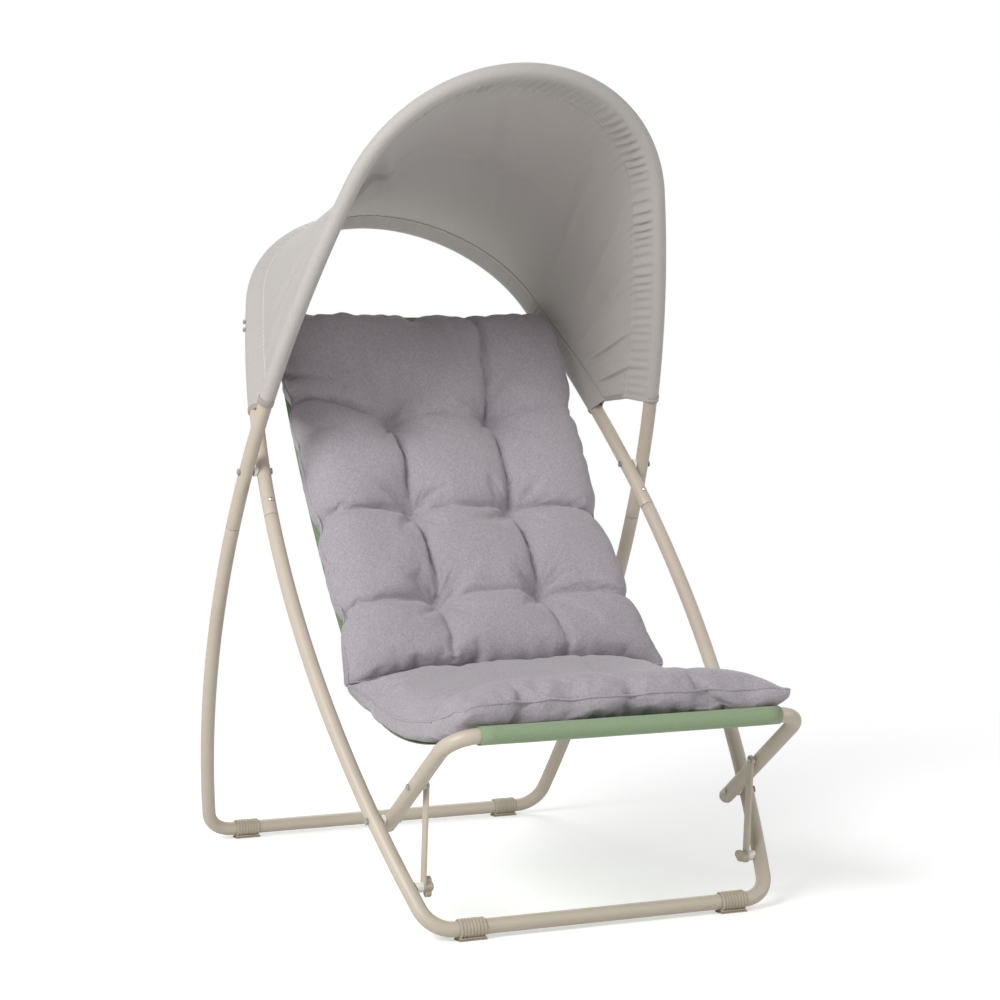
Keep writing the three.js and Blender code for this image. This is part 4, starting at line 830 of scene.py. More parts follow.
def cloth_grid(columns, rows, place, layers=()):
    """A grid laid out by a rule that gives each crossing its point, its place on the flat cloth and its layers."""
    bm = bmesh.new()
    bmesh.ops.create_grid(bm, x_segments=columns, y_segments=rows, size=0.5)
    uv = bm.loops.layers.uv.new("Cloth")
    marks = {name: bm.verts.layers.float.new(name) for name in layers}
    flat = {}
    for vert in bm.verts:
        i = round((vert.co.x + 0.5) * columns)
        j = round((vert.co.y + 0.5) * rows)
        point, on_cloth, values = place(i, j)
        vert.co = point
        flat[vert.index] = on_cloth
        for name, layer in marks.items():
            vert[layer] = values[name]
    for face in bm.faces:
        for loop in face.loops:
            loop[uv].uv = flat[loop.vert.index]
    return bm


def thicken(made, thickness):
    wall = made.modifiers.new("cloth", "SOLIDIFY")
    wall.thickness = thickness
    wall.offset = 0
    wall.use_even_offset = False


def apply_all(made):
    """Makes what the modifiers show the piece's own mesh."""
    bpy.context.view_layer.update()
    graph = bpy.context.evaluated_depsgraph_get()
    mesh = bpy.data.meshes.new_from_object(made.evaluated_get(graph), depsgraph=graph)
    made.modifiers.clear()
    made.data = mesh


class LOUNGER_OT_sling(bpy.types.Operator):
    """Lays the sling from its pocket on the crossbar to its tunnel on the front bar"""
    bl_idname = "lounger.sling"
    bl_label = "Sling"

    def execute(self, context):
        sizes = context.scene.lounger_frame
        sling = context.scene.lounger_sling
        path, sewn, stitch = sling_path(sizes, sling)
        lengths = path_lengths(path)
        marks = [lengths[min(range(len(path)), key=lambda k: (path[k] - place).length)] for place in (sewn, stitch)]
        columns = sling.columns

        def place(i, j):
            u = 2 * i / columns - 1
            point = path[j]
            ripple = sling.ripple * noise.noise(Vector((u * 3, lengths[j] * 9, 0.3)))
            away = min(abs(lengths[j] - m) for m in marks)
            co = Vector((u * sling.half_width, point.x + ripple, point.y + ripple))
            return co, (co.x, lengths[j]), {"seam": away}

        bm = cloth_grid(columns, len(path) - 1, place, ["seam"])
        bmesh.ops.recalc_face_normals(bm, faces=bm.faces)
        made = piece_of(bm, "sling_cloth", "woven_polyester_sling", 1.3)
        thicken(made, sling.cloth)
        apply_all(made)
        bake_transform(made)
        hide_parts("sling")
        return {"FINISHED"}


def wavy(x, along, scale, seed):
    """Smooth uneven values between about -1 and 1 over the flat cover."""
    return np.array([noise.noise(Vector((u * scale, v * scale, seed))) for u, v in zip(x, along)])


def segment_distance(x, along, start, end):
    """How far each place is from a crease, and what share of the crease it is beside."""
    way = np.array(end) - np.array(start)
    size = float(way @ way)
    part = np.clip(((x - start[0]) * way[0] + (along - start[1]) * way[1]) / size, 0, 1)
    return np.hypot(x - start[0] - part * way[0], along - start[1] - part * way[1]), part


# The fine creases round a tuft: how many, where they start, how far they reach at least and at most beyond that,
# and how much they turn and bend
RAYS = 11
RAY_START, RAY_REACH, RAY_EXTRA = 0.006, 0.048, 0.05
RAY_TURN, RAY_BEND = 0.9, 0.012


def stray_creases(tufts, seed):
    """Short fine creases that run out from each tuft at uneven angles."""
    made = []
    for k, tuft in enumerate(tufts):
        for i in range(RAYS):
            uneven = noise.noise(Vector((k * 5.3 + seed, i * 2.7, 0.5)))
            turn = 2 * math.pi * i / RAYS + RAY_TURN * uneven + k
            reach = RAY_REACH + RAY_EXTRA * abs(noise.noise(Vector((i * 3.1, k * 4.7, seed))))
            way = Vector((math.cos(turn), math.sin(turn)))
            bent = way.orthogonal() * (RAY_BEND * uneven)
            end = tuft + way * reach + bent
            made.append(Crease(tuft + way * RAY_START, end, depth=0.0055, fade=1.0, width=0.0036))
    return made


def boxed(t, power):
    """The swell of a stuffed box across its width: flat in the middle, round at the seam."""
    return np.clip(1 - np.abs(t) ** power, 0, 1) ** (1 / 2.6)


def eased(t):
    t = np.clip(t, 0, 1)
    return t * t * (3 - 2 * t)


class Cover:
    """What a cushion is made from: its line, its thickness, and how its cover is drawn in."""
    CORNER_POWER = 14  # How late an edge turns into its corners
    EDGE_WAVE = 0.0035  # Unevenness of the ends
    END_NOTCH_WIDTH = 0.013
    SIDE_NOTCH_WIDTH = 0.022
    WANDER = 0.006  # How far the creases stray from straight lines
    TUFT_REACH = 0.02  # How far the broad pull of a tuft reaches
    EYE_DEPTH, EYE_REACH = 0.011, 0.0055  # The sharp pit in the middle of a tuft
    FOLD_SHARE, FOLD_REACH = 0.3, 0.0042  # The sharp bottom of a crease, as a share of its depth
    FINE_LIMIT = 0.007  # The most that fine creases add up to
    BOX_POWER = 5.0  # How flat the stuffed box is before it swells
    LUMP_EDGE = 0.03  # From the seam to where the lumps are at full height
    GATHER_EDGE = 0.009  # From the seam to where the gathers are at full height
    UPPER_EDGE = 0.02  # Height over the seam at which the creases are at full depth
    SKIN_WAVE = 0.0005  # Fine unevenness of the upper cloth

    def __init__(self, sizes, controls, floor, thickness, seam_share, insets, tufts, creases, notches, end_notches,
                 gathers, lumps):
        self.sizes = sizes
        self.floor = floor
        self.thickness = thickness
        self.seam = seam_share * thickness
        self.insets = insets
        self.tufts = tufts
        self.creases = creases
        self.notches = notches
        self.end_notches = end_notches
        self.gathers = gathers
        self.lumps = lumps
        steps = np.linspace(0, 1, 400)[:, None]
        a, b, c = (np.array(control) for control in controls)
        self.points = a * (1 - steps) ** 2 + b * 2 * steps * (1 - steps) + c * steps ** 2
        apart = np.linalg.norm(np.diff(self.points, axis=0), axis=1)
        self.lengths = np.concatenate([[0], np.cumsum(apart)])
        self.total = self.lengths[-1]
        self.ways = np.gradient(self.points, self.lengths, axis=0)
        self.ways /= np.linalg.norm(self.ways, axis=1)[:, None]

    def line_at(self, along):
        """Points of the line, and the ways it runs there."""
        at = [[np.interp(along, self.lengths, source[:, k]) for k in (0, 1)] for source in (self.points, self.ways)]
        return np.stack(at[0], -1), np.stack(at[1], -1)

    def stand(self, x, along, height):
        """Places on the flat cover, at heights above the sling, as points of the lounger."""
        place, way = self.line_at(along)
        return np.stack([x, place[:, 0] + way[:, 1] * height, place[:, 1] - way[:, 0] * height], -1)

    def unrolled(self, points):
        """The reverse of stand: where points of the lounger lie over the flat cover, and how high."""
        chord = self.points[-1] - self.points[0]
        along = (points[:, 1:] - self.points[0]) @ chord / (chord @ chord) * self.total
        for _ in range(4):
            at = np.clip(along, 0, self.total)
            place, way = self.line_at(at)
            apart = points[:, 1:] - place
            along = at + (apart * way).sum(axis=1)
        return points[:, 0], along, apart[:, 0] * way[:, 1] - apart[:, 1] * way[:, 0]

    def outline(self, u, v):
        """Places on the flat cover for shares across and along, drawn in between the corners and at the creases."""
        sizes = self.sizes
        inset = np.where(v < 0, self.insets[0], self.insets[1])
        room = sizes.end_draw_in * (1 - u * u) + inset * np.abs(u) ** self.CORNER_POWER
        room = room + self.EDGE_WAVE * wavy(u * sizes.half_width, np.sign(v), 16, 3.3)
        for notch in self.end_notches:
            pull = notch.depth * np.exp(-(((u * sizes.half_width - notch.at) / self.END_NOTCH_WIDTH) ** 2))
            room = room + np.where(v * notch.side > 0, pull, 0)
        along = room + (self.total - 2 * room) * (v + 1) / 2
        half = sizes.half_width - sizes.side_draw_in * (1 - v * v) - inset * np.abs(v) ** self.CORNER_POWER
        for notch in self.notches:
            pull = notch.depth * np.exp(-(((along - notch.at) / self.SIDE_NOTCH_WIDTH) ** 2))
            half = half - np.where(u * notch.side > 0, pull, 0)
        return u * half, along, half

    def pulled(self, x, along, broad):
        """How far the cover is pulled down by tufts and creases: broadly, or only in their sharp bottoms."""
        bent_x = x + self.WANDER * wavy(x, along, 22, 7.1)
        bent_along = along + self.WANDER * wavy(x, along, 22, 2.4)
        down = np.zeros(len(x))
        for tuft in self.tufts:
            away = np.hypot(x - tuft.x, along - tuft.y)
            if broad:
                pit = self.sizes.tuft_depth * np.exp(-((away / self.TUFT_REACH) ** 1.05))
            else:
                pit = self.EYE_DEPTH * np.exp(-away / self.EYE_REACH)
            down = np.maximum(down, pit)
        for crease in self.creases:
            away, part = segment_distance(bent_x, bent_along, crease.start, crease.end)
            reach, sharp = (crease.width, 1.05) if broad else (self.FOLD_REACH, 1.3)
            bottom = crease.depth if broad else crease.depth * self.FOLD_SHARE
            down = np.maximum(down, bottom * (1 - crease.fade * part) * np.exp(-((away / reach) ** sharp)))
        if broad:
            return down
        fine = np.zeros(len(x))
        for crease in stray_creases(self.tufts, 1.7):
            away, part = segment_distance(bent_x, bent_along, crease.start, crease.end)
            fine += crease.depth * (1 - crease.fade * part) * np.exp(-((away / crease.width) ** 1.4))
        return down + np.minimum(fine, self.FINE_LIMIT)

    def surface(self, grid_u, grid_v, face):
        u, v = np.sin(np.pi / 2 * grid_u), np.sin(np.pi / 2 * grid_v)
        x, along, half = self.outline(u, v)
        swell = boxed(u, self.BOX_POWER) * boxed(v, self.BOX_POWER)
        height = self.floor + self.seam
        edge = np.minimum(half - np.abs(x), np.minimum(along, self.total - along))
        if face > 0:
            height = height + (self.thickness - self.seam) * swell
            height = height - self.pulled(x, along, True) * np.minimum(1, swell * 1.1)
            height = height + self.lumps * wavy(x, along, 11, face * 2.0) * eased(edge / self.LUMP_EDGE)
        else:
            height = height - self.seam * swell
        for gather in self.gathers:
            at_ends = gather.where == "ends"
            run = x if at_ends else along
            away = np.minimum(along, self.total - along) if at_ends else half - np.abs(x)
            ripple = np.sin(2 * np.pi * run / gather.pitch + 4 * wavy(run, run * 0 + face, 13, 1.3))
            uneven = 0.6 + 0.6 * wavy(run, run * 0, 17, 5.2)
            depth = gather.depth if face > 0 else gather.depth / 2
            height = height + depth * uneven * ripple * np.exp(-away / gather.reach) * eased(edge / self.GATHER_EDGE)
        return self.stand(x, along, height)


def mesh_points(mesh):
    places = np.empty(3 * len(mesh.vertices))
    mesh.vertices.foreach_get("co", places)
    return places.reshape(-1, 3)


# How the cover behaves while the stuffing swells it: a light, firm weave that may grow a little
CLOTH = {
    "quality": 4,
    "mass": 0.25,
    "tension_stiffness": 12,
    "compression_stiffness": 12,
    "shear_stiffness": 4,
    "bending_stiffness": 0.08,
    "shrink_min": -0.06,
    "use_pressure": True,
    "uniform_pressure_force": 4.0,
    "vertex_group_mass": "held",
}
UNDERSIDE = 0.003  # Height over the sling up to which the cover is held
TUFT_HOLD = 0.007  # Distance round a tuft within which the cover is held


def swell(made, cover, cap):
    """Lets the stuffing swell a cover by a short cloth simulation, each point moving no farther than a cap."""
    remesh = made.modifiers.new("even_faces", "REMESH")
    remesh.mode = "VOXEL"
    remesh.voxel_size = cover.sizes.voxel
    apply_all(made)
    before = mesh_points(made.data)
    x, along, height = cover.unrolled(before)
    held = height < cover.floor + UNDERSIDE
    for tuft in cover.tufts:
        held |= np.hypot(x - tuft.x, along - tuft.y) < TUFT_HOLD
    made.vertex_groups.new(name="held").add(np.flatnonzero(held).tolist(), 1.0, "REPLACE")
    cloth = made.modifiers.new("stuffing", "CLOTH")
    for name, value in CLOTH.items():
        setattr(cloth.settings, name, value)
    cloth.settings.effector_weights.gravity = 0
    cloth.collision_settings.use_collision = False
    for step in range(1, cover.sizes.swell_steps + 1):
        bpy.context.scene.frame_set(step)
    graph = bpy.context.evaluated_depsgraph_get()
    after = mesh_points(made.evaluated_get(graph).data)
    moves = after - before
    far = np.linalg.norm(moves, axis=1)
    kept = cap * np.tanh(far / cap) / np.maximum(far, 1e-9)
    made.modifiers.clear()
    made.vertex_groups.clear()
    bpy.context.scene.frame_set(1)
    made.data.vertices.foreach_set("co", (before + moves * kept[:, None]).ravel())


def sharpen(made, cover):
    """Draws the sharp bottoms of the creases and tufts into the upper cloth, once it has its final faces."""
    rounder = made.modifiers.new("rounder", "SUBSURF")
    rounder.levels = rounder.render_levels = 1
    apply_all(made)
    points = mesh_points(made.data)
    x, along, height = cover.unrolled(points)
    upper = eased((height - cover.floor - cover.seam) / cover.UPPER_EDGE)
    down = cover.pulled(x, along, False) * upper
    down -= cover.SKIN_WAVE * wavy(x, along, 80, 3.0) * upper
    _, way = cover.line_at(np.clip(along, 0, cover.total))
    points[:, 1] -= way[:, 1] * down
    points[:, 2] += way[:, 0] * down
    made.data.vertices.foreach_set("co", points.ravel())


def sewn_cover(cover, name):
    """The cover's upper and lower cloth, joined at the seam round the edge."""
    sizes = cover.sizes
    bm = bmesh.new()
    for face in (1, -1):
        before = len(bm.verts)
        bmesh.ops.create_grid(bm, x_segments=sizes.columns, y_segments=sizes.rows, size=0.5)
        bm.verts.ensure_lookup_table()
        verts = bm.verts[before:]
        grid = np.array([vert.co[:2] for vert in verts]) * 2
        for vert, point in zip(verts, cover.surface(grid[:, 0], grid[:, 1], face)):
            vert.co = point
    bmesh.ops.remove_doubles(bm, verts=bm.verts, dist=1e-5)
    bmesh.ops.recalc_face_normals(bm, faces=bm.faces)
    return piece_of(bm, name, "melange_cotton_blend", 1.5)


SEAM_SEARCH = 0.004  # How far outside the flat seam the swollen one is looked for


def piping(made, cover):
    """Sews a thin cord into the seam, all round a cushion. It joins the cushion's own mesh."""
    sizes = cover.sizes
    steps = sizes.cord_steps
    run = np.linspace(-1, 1, steps, endpoint=False)
    one = np.ones(steps)
    u = np.concatenate([run, one, -run, -one])
    v = np.concatenate([-one, run, one, -run])
    x, along, _ = cover.outline(np.sin(np.pi / 2 * u), np.sin(np.pi / 2 * v))
    rough = cover.stand(x, along, np.full(len(x), cover.floor + cover.seam))
    middle = Vector(rough.mean(axis=0))
    tree = BVHTree.FromPolygons([vert.co for vert in made.data.vertices],
                                [face.vertices for face in made.data.polygons])
    points = []
    for place in rough:
        outward = (Vector(place) - middle).normalized()
        points.append(tree.find_nearest(Vector(place) + outward * SEAM_SEARCH)[0])
    for _ in range(3):
        points = [(points[k - 1] + points[k] * 2 + points[(k + 1) % len(points)]) / 4 for k in range(len(points))]
    bm = bmesh.new()
    rings = []
    for k, point in enumerate(points):
        ahead = (points[(k + 1) % len(points)] - points[k - 1]).normalized()
        place = Matrix.Translation(point) @ ahead.to_track_quat("Z", "Y").to_matrix().to_4x4()
        ring = bmesh.ops.create_circle(bm, cap_ends=False, radius=sizes.cord, segments=sizes.cord_sides,
                                       matrix=place)["verts"]
        rings.append(list({edge for vert in ring for edge in vert.link_edges}))
    for k, ring in enumerate(rings):
        bmesh.ops.bridge_loops(bm, edges=ring + rings[(k + 1) % len(rings)])
    bmesh.ops.recalc_face_normals(bm, faces=bm.faces)
    cord = bpy.data.meshes.new("cord")
    bm.to_mesh(cord)
    bm.clear()
    bm.from_mesh(made.data)
    bm.from_mesh(cord)
    for face in bm.faces:
        face.smooth = True
    bm.to_mesh(made.data)
    bm.free()
    bpy.data.meshes.remove(cord)


def stuffed(cover, name, cap):
    """A whole cushion: sewn, swollen by its stuffing, creased and piped."""
    made = sewn_cover(cover, name)
    swell(made, cover, cap)
    sharpen(made, cover)
    piping(made, cover)
    return made


class LOUNGER_OT_back_cushion(bpy.types.Operator):
    """Makes the tufted back cushion"""
    bl_idname = "lounger.back_cushion"
    bl_label = "Back cushion"

    def execute(self, context):
        sizes = context.scene.lounger_cushions
        line = SlingLine(context.scene.lounger_frame, context.scene.lounger_sling)
        rows = [sizes.tuft_first_row + row * sizes.tuft_pitch - sizes.back_top for row in range(3)]
        left, right = ([Vector((side * sizes.tuft_x, row)) for row in rows] for side in SIDES.values())
        tufts = [tuft for pair in zip(left, right) for tuft in pair]
        wide = sizes.half_width
        end = sizes.back_end - sizes.back_top
        # Between the tufts, first down the columns and then across
        creases = [Crease(column[k], column[k + 1], 0.017, 0.0, 0.016) for column in (left, right) for k in (0, 1)]
        creases += [
            Crease(left[0], right[0], 0.006, 0.0, 0.02),
            Crease(left[1], right[1], 0.017, 0.0, 0.016),
            Crease(left[2], right[2], 0.013, 0.0, 0.016),
            # From the tufts to the edges
            Crease(left[0], Vector((-wide, left[0].y - 0.05)), 0.02, 0.35, 0.014),
            Crease(left[1], Vector((-wide, left[1].y + 0.01)), 0.019, 0.25, 0.015),
            Crease(left[2], Vector((-wide, left[2].y + 0.015)), 0.019, 0.25, 0.015),
            Crease(right[0], Vector((wide, right[0].y - 0.02)), 0.01, 0.6, 0.014),
            Crease(right[1], Vector((wide, right[1].y + 0.02)), 0.019, 0.25, 0.015),
            Crease(right[2], Vector((wide, right[2].y + 0.02)), 0.019, 0.25, 0.015),
            Crease(right[0], Vector((right[0].x + 0.012, 0.02)), 0.02, 0.4, 0.013),
            Crease(left[2], Vector((left[2].x - 0.01, end - 0.015)), 0.016, 0.5, 0.013),
            Crease(right[2], Vector((right[2].x + 0.012, end - 0.015)), 0.016, 0.5, 0.013),
            # From the left side and the top into the panels
            Crease(Vector((-wide, left[0].y - 0.095)), Vector((-wide * 0.62, left[0].y - 0.06)), 0.011, 0.9, 0.009),
            Crease(Vector((-wide, left[0].y + 0.03)), Vector((-wide * 0.6, left[0].y + 0.012)), 0.008, 0.9, 0.009),
            Crease(Vector((-0.012, 0.0)), Vector((0.02, 0.07)), 0.011, 0.9, 0.01),
            Crease(Vector((-0.012, 0.0)), Vector((0.052, 0.15)), 0.006, 0.8, 0.008),
            Crease(Vector((0.04, 0.02)), Vector((0.066, 0.13)), 0.007, 0.5, 0.008),
        ]
        cover = Cover(
            sizes, line.back_part(sizes.back_top, sizes.back_end), floor=line.room + sizes.lift,
            thickness=sizes.back_thickness, seam_share=sizes.back_seam_share, insets=(0.02, -0.006), tufts=tufts,
            creases=creases, lumps=0.006,
            notches=[
                Notch(-1, left[0].y - 0.05, 0.007), Notch(-1, left[1].y + 0.01, 0.008),
                Notch(-1, left[2].y + 0.015, 0.008), Notch(1, right[0].y - 0.02, 0.005),
                Notch(1, right[1].y + 0.02, 0.008), Notch(1, right[2].y + 0.02, 0.008)],
            end_notches=[
                Notch(-1, -0.012, 0.011), Notch(-1, 0.084, 0.007), Notch(-1, -0.17, 0.004),
                Notch(1, -0.06, 0.006), Notch(1, 0.09, 0.005)],
            gathers=[Gather("ends", 0.034, 0.0055, 0.026), Gather("sides", 0.05, 0.003, 0.02)])
        made = stuffed(cover, "back_cushion_cover", cap=0.02)
        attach(made, "inner_frame")
        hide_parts("back_cushion")
        return {"FINISHED"}


class LOUNGER_OT_seat_cushion(bpy.types.Operator):
    """Makes the seat cushion that lies in the sling and over the front bar"""
    bl_idname = "lounger.seat_cushion"
    bl_label = "Seat cushion"

    def execute(self, context):
        sizes = context.scene.lounger_cushions
        tube, sling = context.scene.lounger_frame, context.scene.lounger_sling
        line = SlingLine(tube, sling)
        control = line.pan[1].copy()
        start = line.corner + (control - line.corner).normalized() * sizes.seat_start
        control.y -= sizes.seat_settle
        end = Vector((line.bar.x - sizes.seat_overhang, line.bar.y + tunnel_radius(tube, sling) + 2 * sling.room))
        tufts = [Vector((side * sizes.tuft_x, sizes.seat_tuft_row)) for side in SIDES.values()]
        creases = [Crease(*tufts, 0.008, 0.0, 0.016)]
        for tuft, side in zip(tufts, SIDES.values()):
            x, row = tuft
            creases += [
                Crease(tuft, Vector((side * sizes.half_width, row - side * 0.01)), 0.012, 0.4, 0.014),
                Crease(tuft, Vector((x + side * 0.02, 0.03)), 0.01, 0.7, 0.013),
                Crease(tuft, Vector((x + side * 0.015, row + 0.12)), 0.008, 0.8, 0.012),
            ]
        # Puckers of the front seam, each a notch with a crease that runs in from it
        puckers = [Notch(1, -0.16, 0.005), Notch(1, -0.085, 0.004), Notch(1, 0.005, 0.008), Notch(1, 0.115, 0.006),
                   Notch(1, 0.19, 0.003)]
        front = (end - start).length
        for _, at, depth in puckers:
            inner = Vector((at * 1.08 - 0.006, front - 11 * depth))
            creases.append(Crease(Vector((at, front)), inner, depth, 0.7, 0.007))
        cover = Cover(
            sizes, (start, control, end), floor=line.room + sizes.lift, thickness=sizes.seat_thickness,
            seam_share=sizes.seat_seam_share, insets=(-0.006, 0.001), tufts=tufts, creases=creases, lumps=0.005,
            notches=[Notch(-1, tufts[0].y + 0.01, 0.005), Notch(1, tufts[1].y - 0.01, 0.005)], end_notches=puckers,
            gathers=[Gather("ends", 0.03, 0.005, 0.024), Gather("sides", 0.05, 0.0025, 0.02)])
        made = stuffed(cover, "seat_cushion_cover", cap=0.014)
        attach(made, "inner_frame")
        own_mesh(made)
        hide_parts("seat_cushion")
        return {"FINISHED"}


class CanopyLine:
    """The rule of the hood: for each share of the way over it, the cloth's section from hoop to hoop."""
    SPREAD = 3  # Length over the hood for each length from hoop to hoop, on the plan that the folds are drawn on
    WIDEST = 0.524  # From hoop to hoop over the crown
    PUCKER_REACH = 0.024  # How far the puckers run in from a band
    UNEVEN = 0.004  # Broad unevenness of the cloth
    # The hollow beside each fold, as shares of the fold's height and width
    HOLLOW_DEPTH, HOLLOW_AT, HOLLOW_WIDTH = 0.55, 1.6, 1.3
    GROOVE_DEPTH, GROOVE_WIDTH = 0.0016, 0.0028  # Where a seam draws the cloth in
    SEAM_STEPS = (0.0, 0.002, 0.004, 0.007, 0.012)  # Close rows beside a seam, so that its groove shows
    ROLL_STEPS = 16  # Rows round a hoop
    GATHER_STEPS = 4  # Rows between a hoop and a seam
    # The folds that the photograph shows: from and to a share over the hood and a share from the rear hoop to the
    # front one, with their height and width
    FOLDS = (
        ((0.66, 0.95), (0.50, 0.08), 0.011, 0.03),
        ((0.56, 0.62), (0.30, 0.50), 0.008, 0.016),
        ((0.56, 0.62), (0.62, 0.10), 0.008, 0.016),
        ((0.50, 0.95), (0.36, 0.12), 0.008, 0.03),
        ((0.36, 0.92), (0.24, 0.10), 0.007, 0.028),
        ((0.33, 0.70), (0.27, 0.55), 0.005, 0.012),
        ((0.27, 0.92), (0.17, 0.30), 0.006, 0.024),
        ((0.18, 0.95), (0.12, 0.20), 0.005, 0.02),
        ((0.04, 0.05), (0.05, 0.95), 0.006, 0.014),
        ((0.085, 0.1), (0.10, 0.95), 0.006, 0.016),
        ((0.97, 0.15), (0.80, 0.92), 0.010, 0.026),
        ((0.92, 0.05), (0.70, 0.85), 0.009, 0.026),
        ((0.96, 0.8), (0.98, 0.1), 0.005, 0.016),
        ((0.84, 0.1), (0.62, 0.7), 0.008, 0.026),
    )

    def __init__(self, sizes, canopy):
        self.inner, self.outer = courses(sizes)
        self.canopy = canopy
        self.hem = canopy.hem_above
        low = self.outer.bow_angle(self.hem)
        side = self.outer.bow_radius * (self.outer.crown_angle - low)
        crown = self.outer.crown_radius * (math.pi / 2 - self.outer.crown_angle)
        self.side_share = 0.5 * side / (side + crown)
        self.hood_length = 2 * (side + crown)
        self.wrap = sizes.tube_diameter / 2 + sizes.joint_gap + canopy.cloth / 2
        self.folds = [(self.on_plan(*start), self.on_plan(*end), height, width)
                      for start, end, height, width in self.FOLDS]

    def on_plan(self, s, t):
        return Vector((s * self.SPREAD, t))

    def ring_point(self, course, s, turn, distance):
        point, outward = course.station(self.hem, self.side_share, s)
        local = point + Vector((0, -1, 0)) * (distance * math.cos(turn)) + outward * (distance * math.sin(turn))
        return course.stand @ local

    def inward(self, point):
        return Vector((-point.x, 0, PIVOT.z - point.z)).normalized()

    def rear_band(self, s):
        """The rear hoop's turned-back cloth: wide at the hems and narrow over the crown."""
        return self.canopy.rear_band * (0.35 + 0.65 * abs(2 * s - 1) ** 2)

    def pucker_wave(self, s):
        """The ripple of gathered cloth along a hoop, uneven and strongest over the crown."""
        run = s * self.hood_length
        uneven = noise.noise(Vector((run * 14, 2.7, 0.0)))
        wave = math.sin(2 * math.pi * run / self.canopy.pucker_pitch + 5 * uneven)
        return wave * (0.3 + 0.7 * math.sin(math.pi * s) ** 2) * (0.8 + 0.8 * uneven)

    def panel(self, rear, front, s, t):
        """A point of the cloth between the hoops: sagging, folded, puckered beside the bands and drawn in at seams."""
        canopy = self.canopy
        point = rear.lerp(front, t)
        span = (front - rear).length
        middle = math.sin(math.pi * t)
        taut = middle * math.sin(math.pi * s)
        waves = math.cos(2 * math.pi * canopy.crease_count * (s + (t - 0.5) / canopy.crease_count))
        depth = canopy.sag * span / self.WIDEST * taut - canopy.crease_depth * 0.6 * waves * taut
        place = self.on_plan(s, t)
        for start, end, height, width in self.folds:
            way = end - start
            from_start = place - start
            part = max(0.0, min(1.0, from_start.dot(way) / way.length_squared))
            across = way.x * from_start.y - way.y * from_start.x
            away = (from_start - way * part).length * math.copysign(1, across)
            hollow = math.exp(-(((away - self.HOLLOW_AT * width) / (self.HOLLOW_WIDTH * width)) ** 2))
            ridge = math.exp(-((away / width) ** 2)) - self.HOLLOW_DEPTH * hollow
            depth += height * ridge * math.sin(math.pi * part) * middle ** 0.5
        depth += self.UNEVEN * noise.noise(Vector((s * 7, t * 2.2, 4.1))) * middle
        from_front, from_rear = (1 - t) * span - canopy.band, t * span - self.rear_band(s)
        for away, strength in ((from_front, 0.8), (from_rear, 0.4)):
            depth += canopy.pucker * strength * self.pucker_wave(s) * math.exp(-max(away, 0) / self.PUCKER_REACH)
            depth -= self.GROOVE_DEPTH * math.exp(-((away / self.GROOVE_WIDTH) ** 2))
        return point + self.inward(point) * depth

    def roll(self, course, s, turn, band):
        """Points of the cloth round a hoop, from where it leaves the seam of its band to where it comes back."""
        open_by = math.acos(self.wrap / (self.canopy.tail + band))
        sweep = 2 * (math.pi - open_by)
        return [self.ring_point(course, s, turn + open_by + sweep * i / self.ROLL_STEPS, self.wrap)
                for i in range(self.ROLL_STEPS + 1)]

    def section(self, s):
        """Points of the cloth at a share of the way over the hood, and where the seams are among them."""
        canopy = self.canopy
        front_turn, rear_turn = math.pi + canopy.front_tail_turn, -canopy.rear_tail_turn
        front = self.ring_point(self.outer, s, front_turn, canopy.tail)
        rear = self.ring_point(self.inner, s, rear_turn, canopy.tail)
        span = (front - rear).length
        last, first = 1 - canopy.band / span, self.rear_band(s) / span
        lap = canopy.lap / span

        def under(t):
            """Cloth turned back inside the panel."""
            point = self.panel(rear, front, s, t)
            return point + self.inward(point) * (canopy.cloth * 1.3)

        points = [under(last - lap), under(last)]
        roll = self.roll(self.outer, s, front_turn, canopy.band)
        points += self.gathered(points[-1], roll[0], s, canopy.pucker) + roll
        points += self.gathered(roll[-1], self.panel(rear, front, s, last), s, canopy.pucker * 0.4)
        front_mark = len(points)
        near = [step / span for step in self.SEAM_STEPS]
        wide = last - first - near[-1] * 2
        ways = near + [near[-1] + wide * i / canopy.rows for i in range(1, canopy.rows)]
        ways += [last - first - step for step in reversed(near)]
        points += [self.panel(rear, front, s, last - way) for way in ways]
        rear_mark = len(points) - 1
        roll = self.roll(self.inner, s, rear_turn, self.rear_band(s))
        points += self.gathered(points[-1], roll[0], s, 0) + roll
        points += self.gathered(roll[-1], under(first), s, canopy.pucker * 0.3)
        points += [under(first), under(first + lap)]
        return points, front_mark, rear_mark

    def gathered(self, start, end, s, depth):
        """Points between two, rippled where the cloth is gathered round the crown."""
        made = []
        amount = depth * self.pucker_wave(s) * 1.3
        for i in range(1, self.GATHER_STEPS + 1):
            t = i / (self.GATHER_STEPS + 1)
            point = start.lerp(end, t)
            made.append(point + self.inward(point) * amount * math.sin(math.pi * t))
        return made

    def weight(self, point):
        """Nought on the rear hoop, one on the front hoop, and the share of the way between."""
        clear = self.canopy.tail + 0.002
        from_rear = max(0.0, -(self.inner.home @ point).y - clear)
        from_front = max(0.0, (self.outer.home @ point).y - clear)
        if from_rear + from_front == 0:
            return 0.5
        return from_rear / (from_rear + from_front)


def bend_with_hoops(made, line):
    """Bakes the cloth's place into its mesh and works out each point's share of the way from the rear hoop to the
    front one; the shares are not used.
    """
    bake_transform(made)
    weights = [line.weight(vert.co) for vert in made.data.vertices]


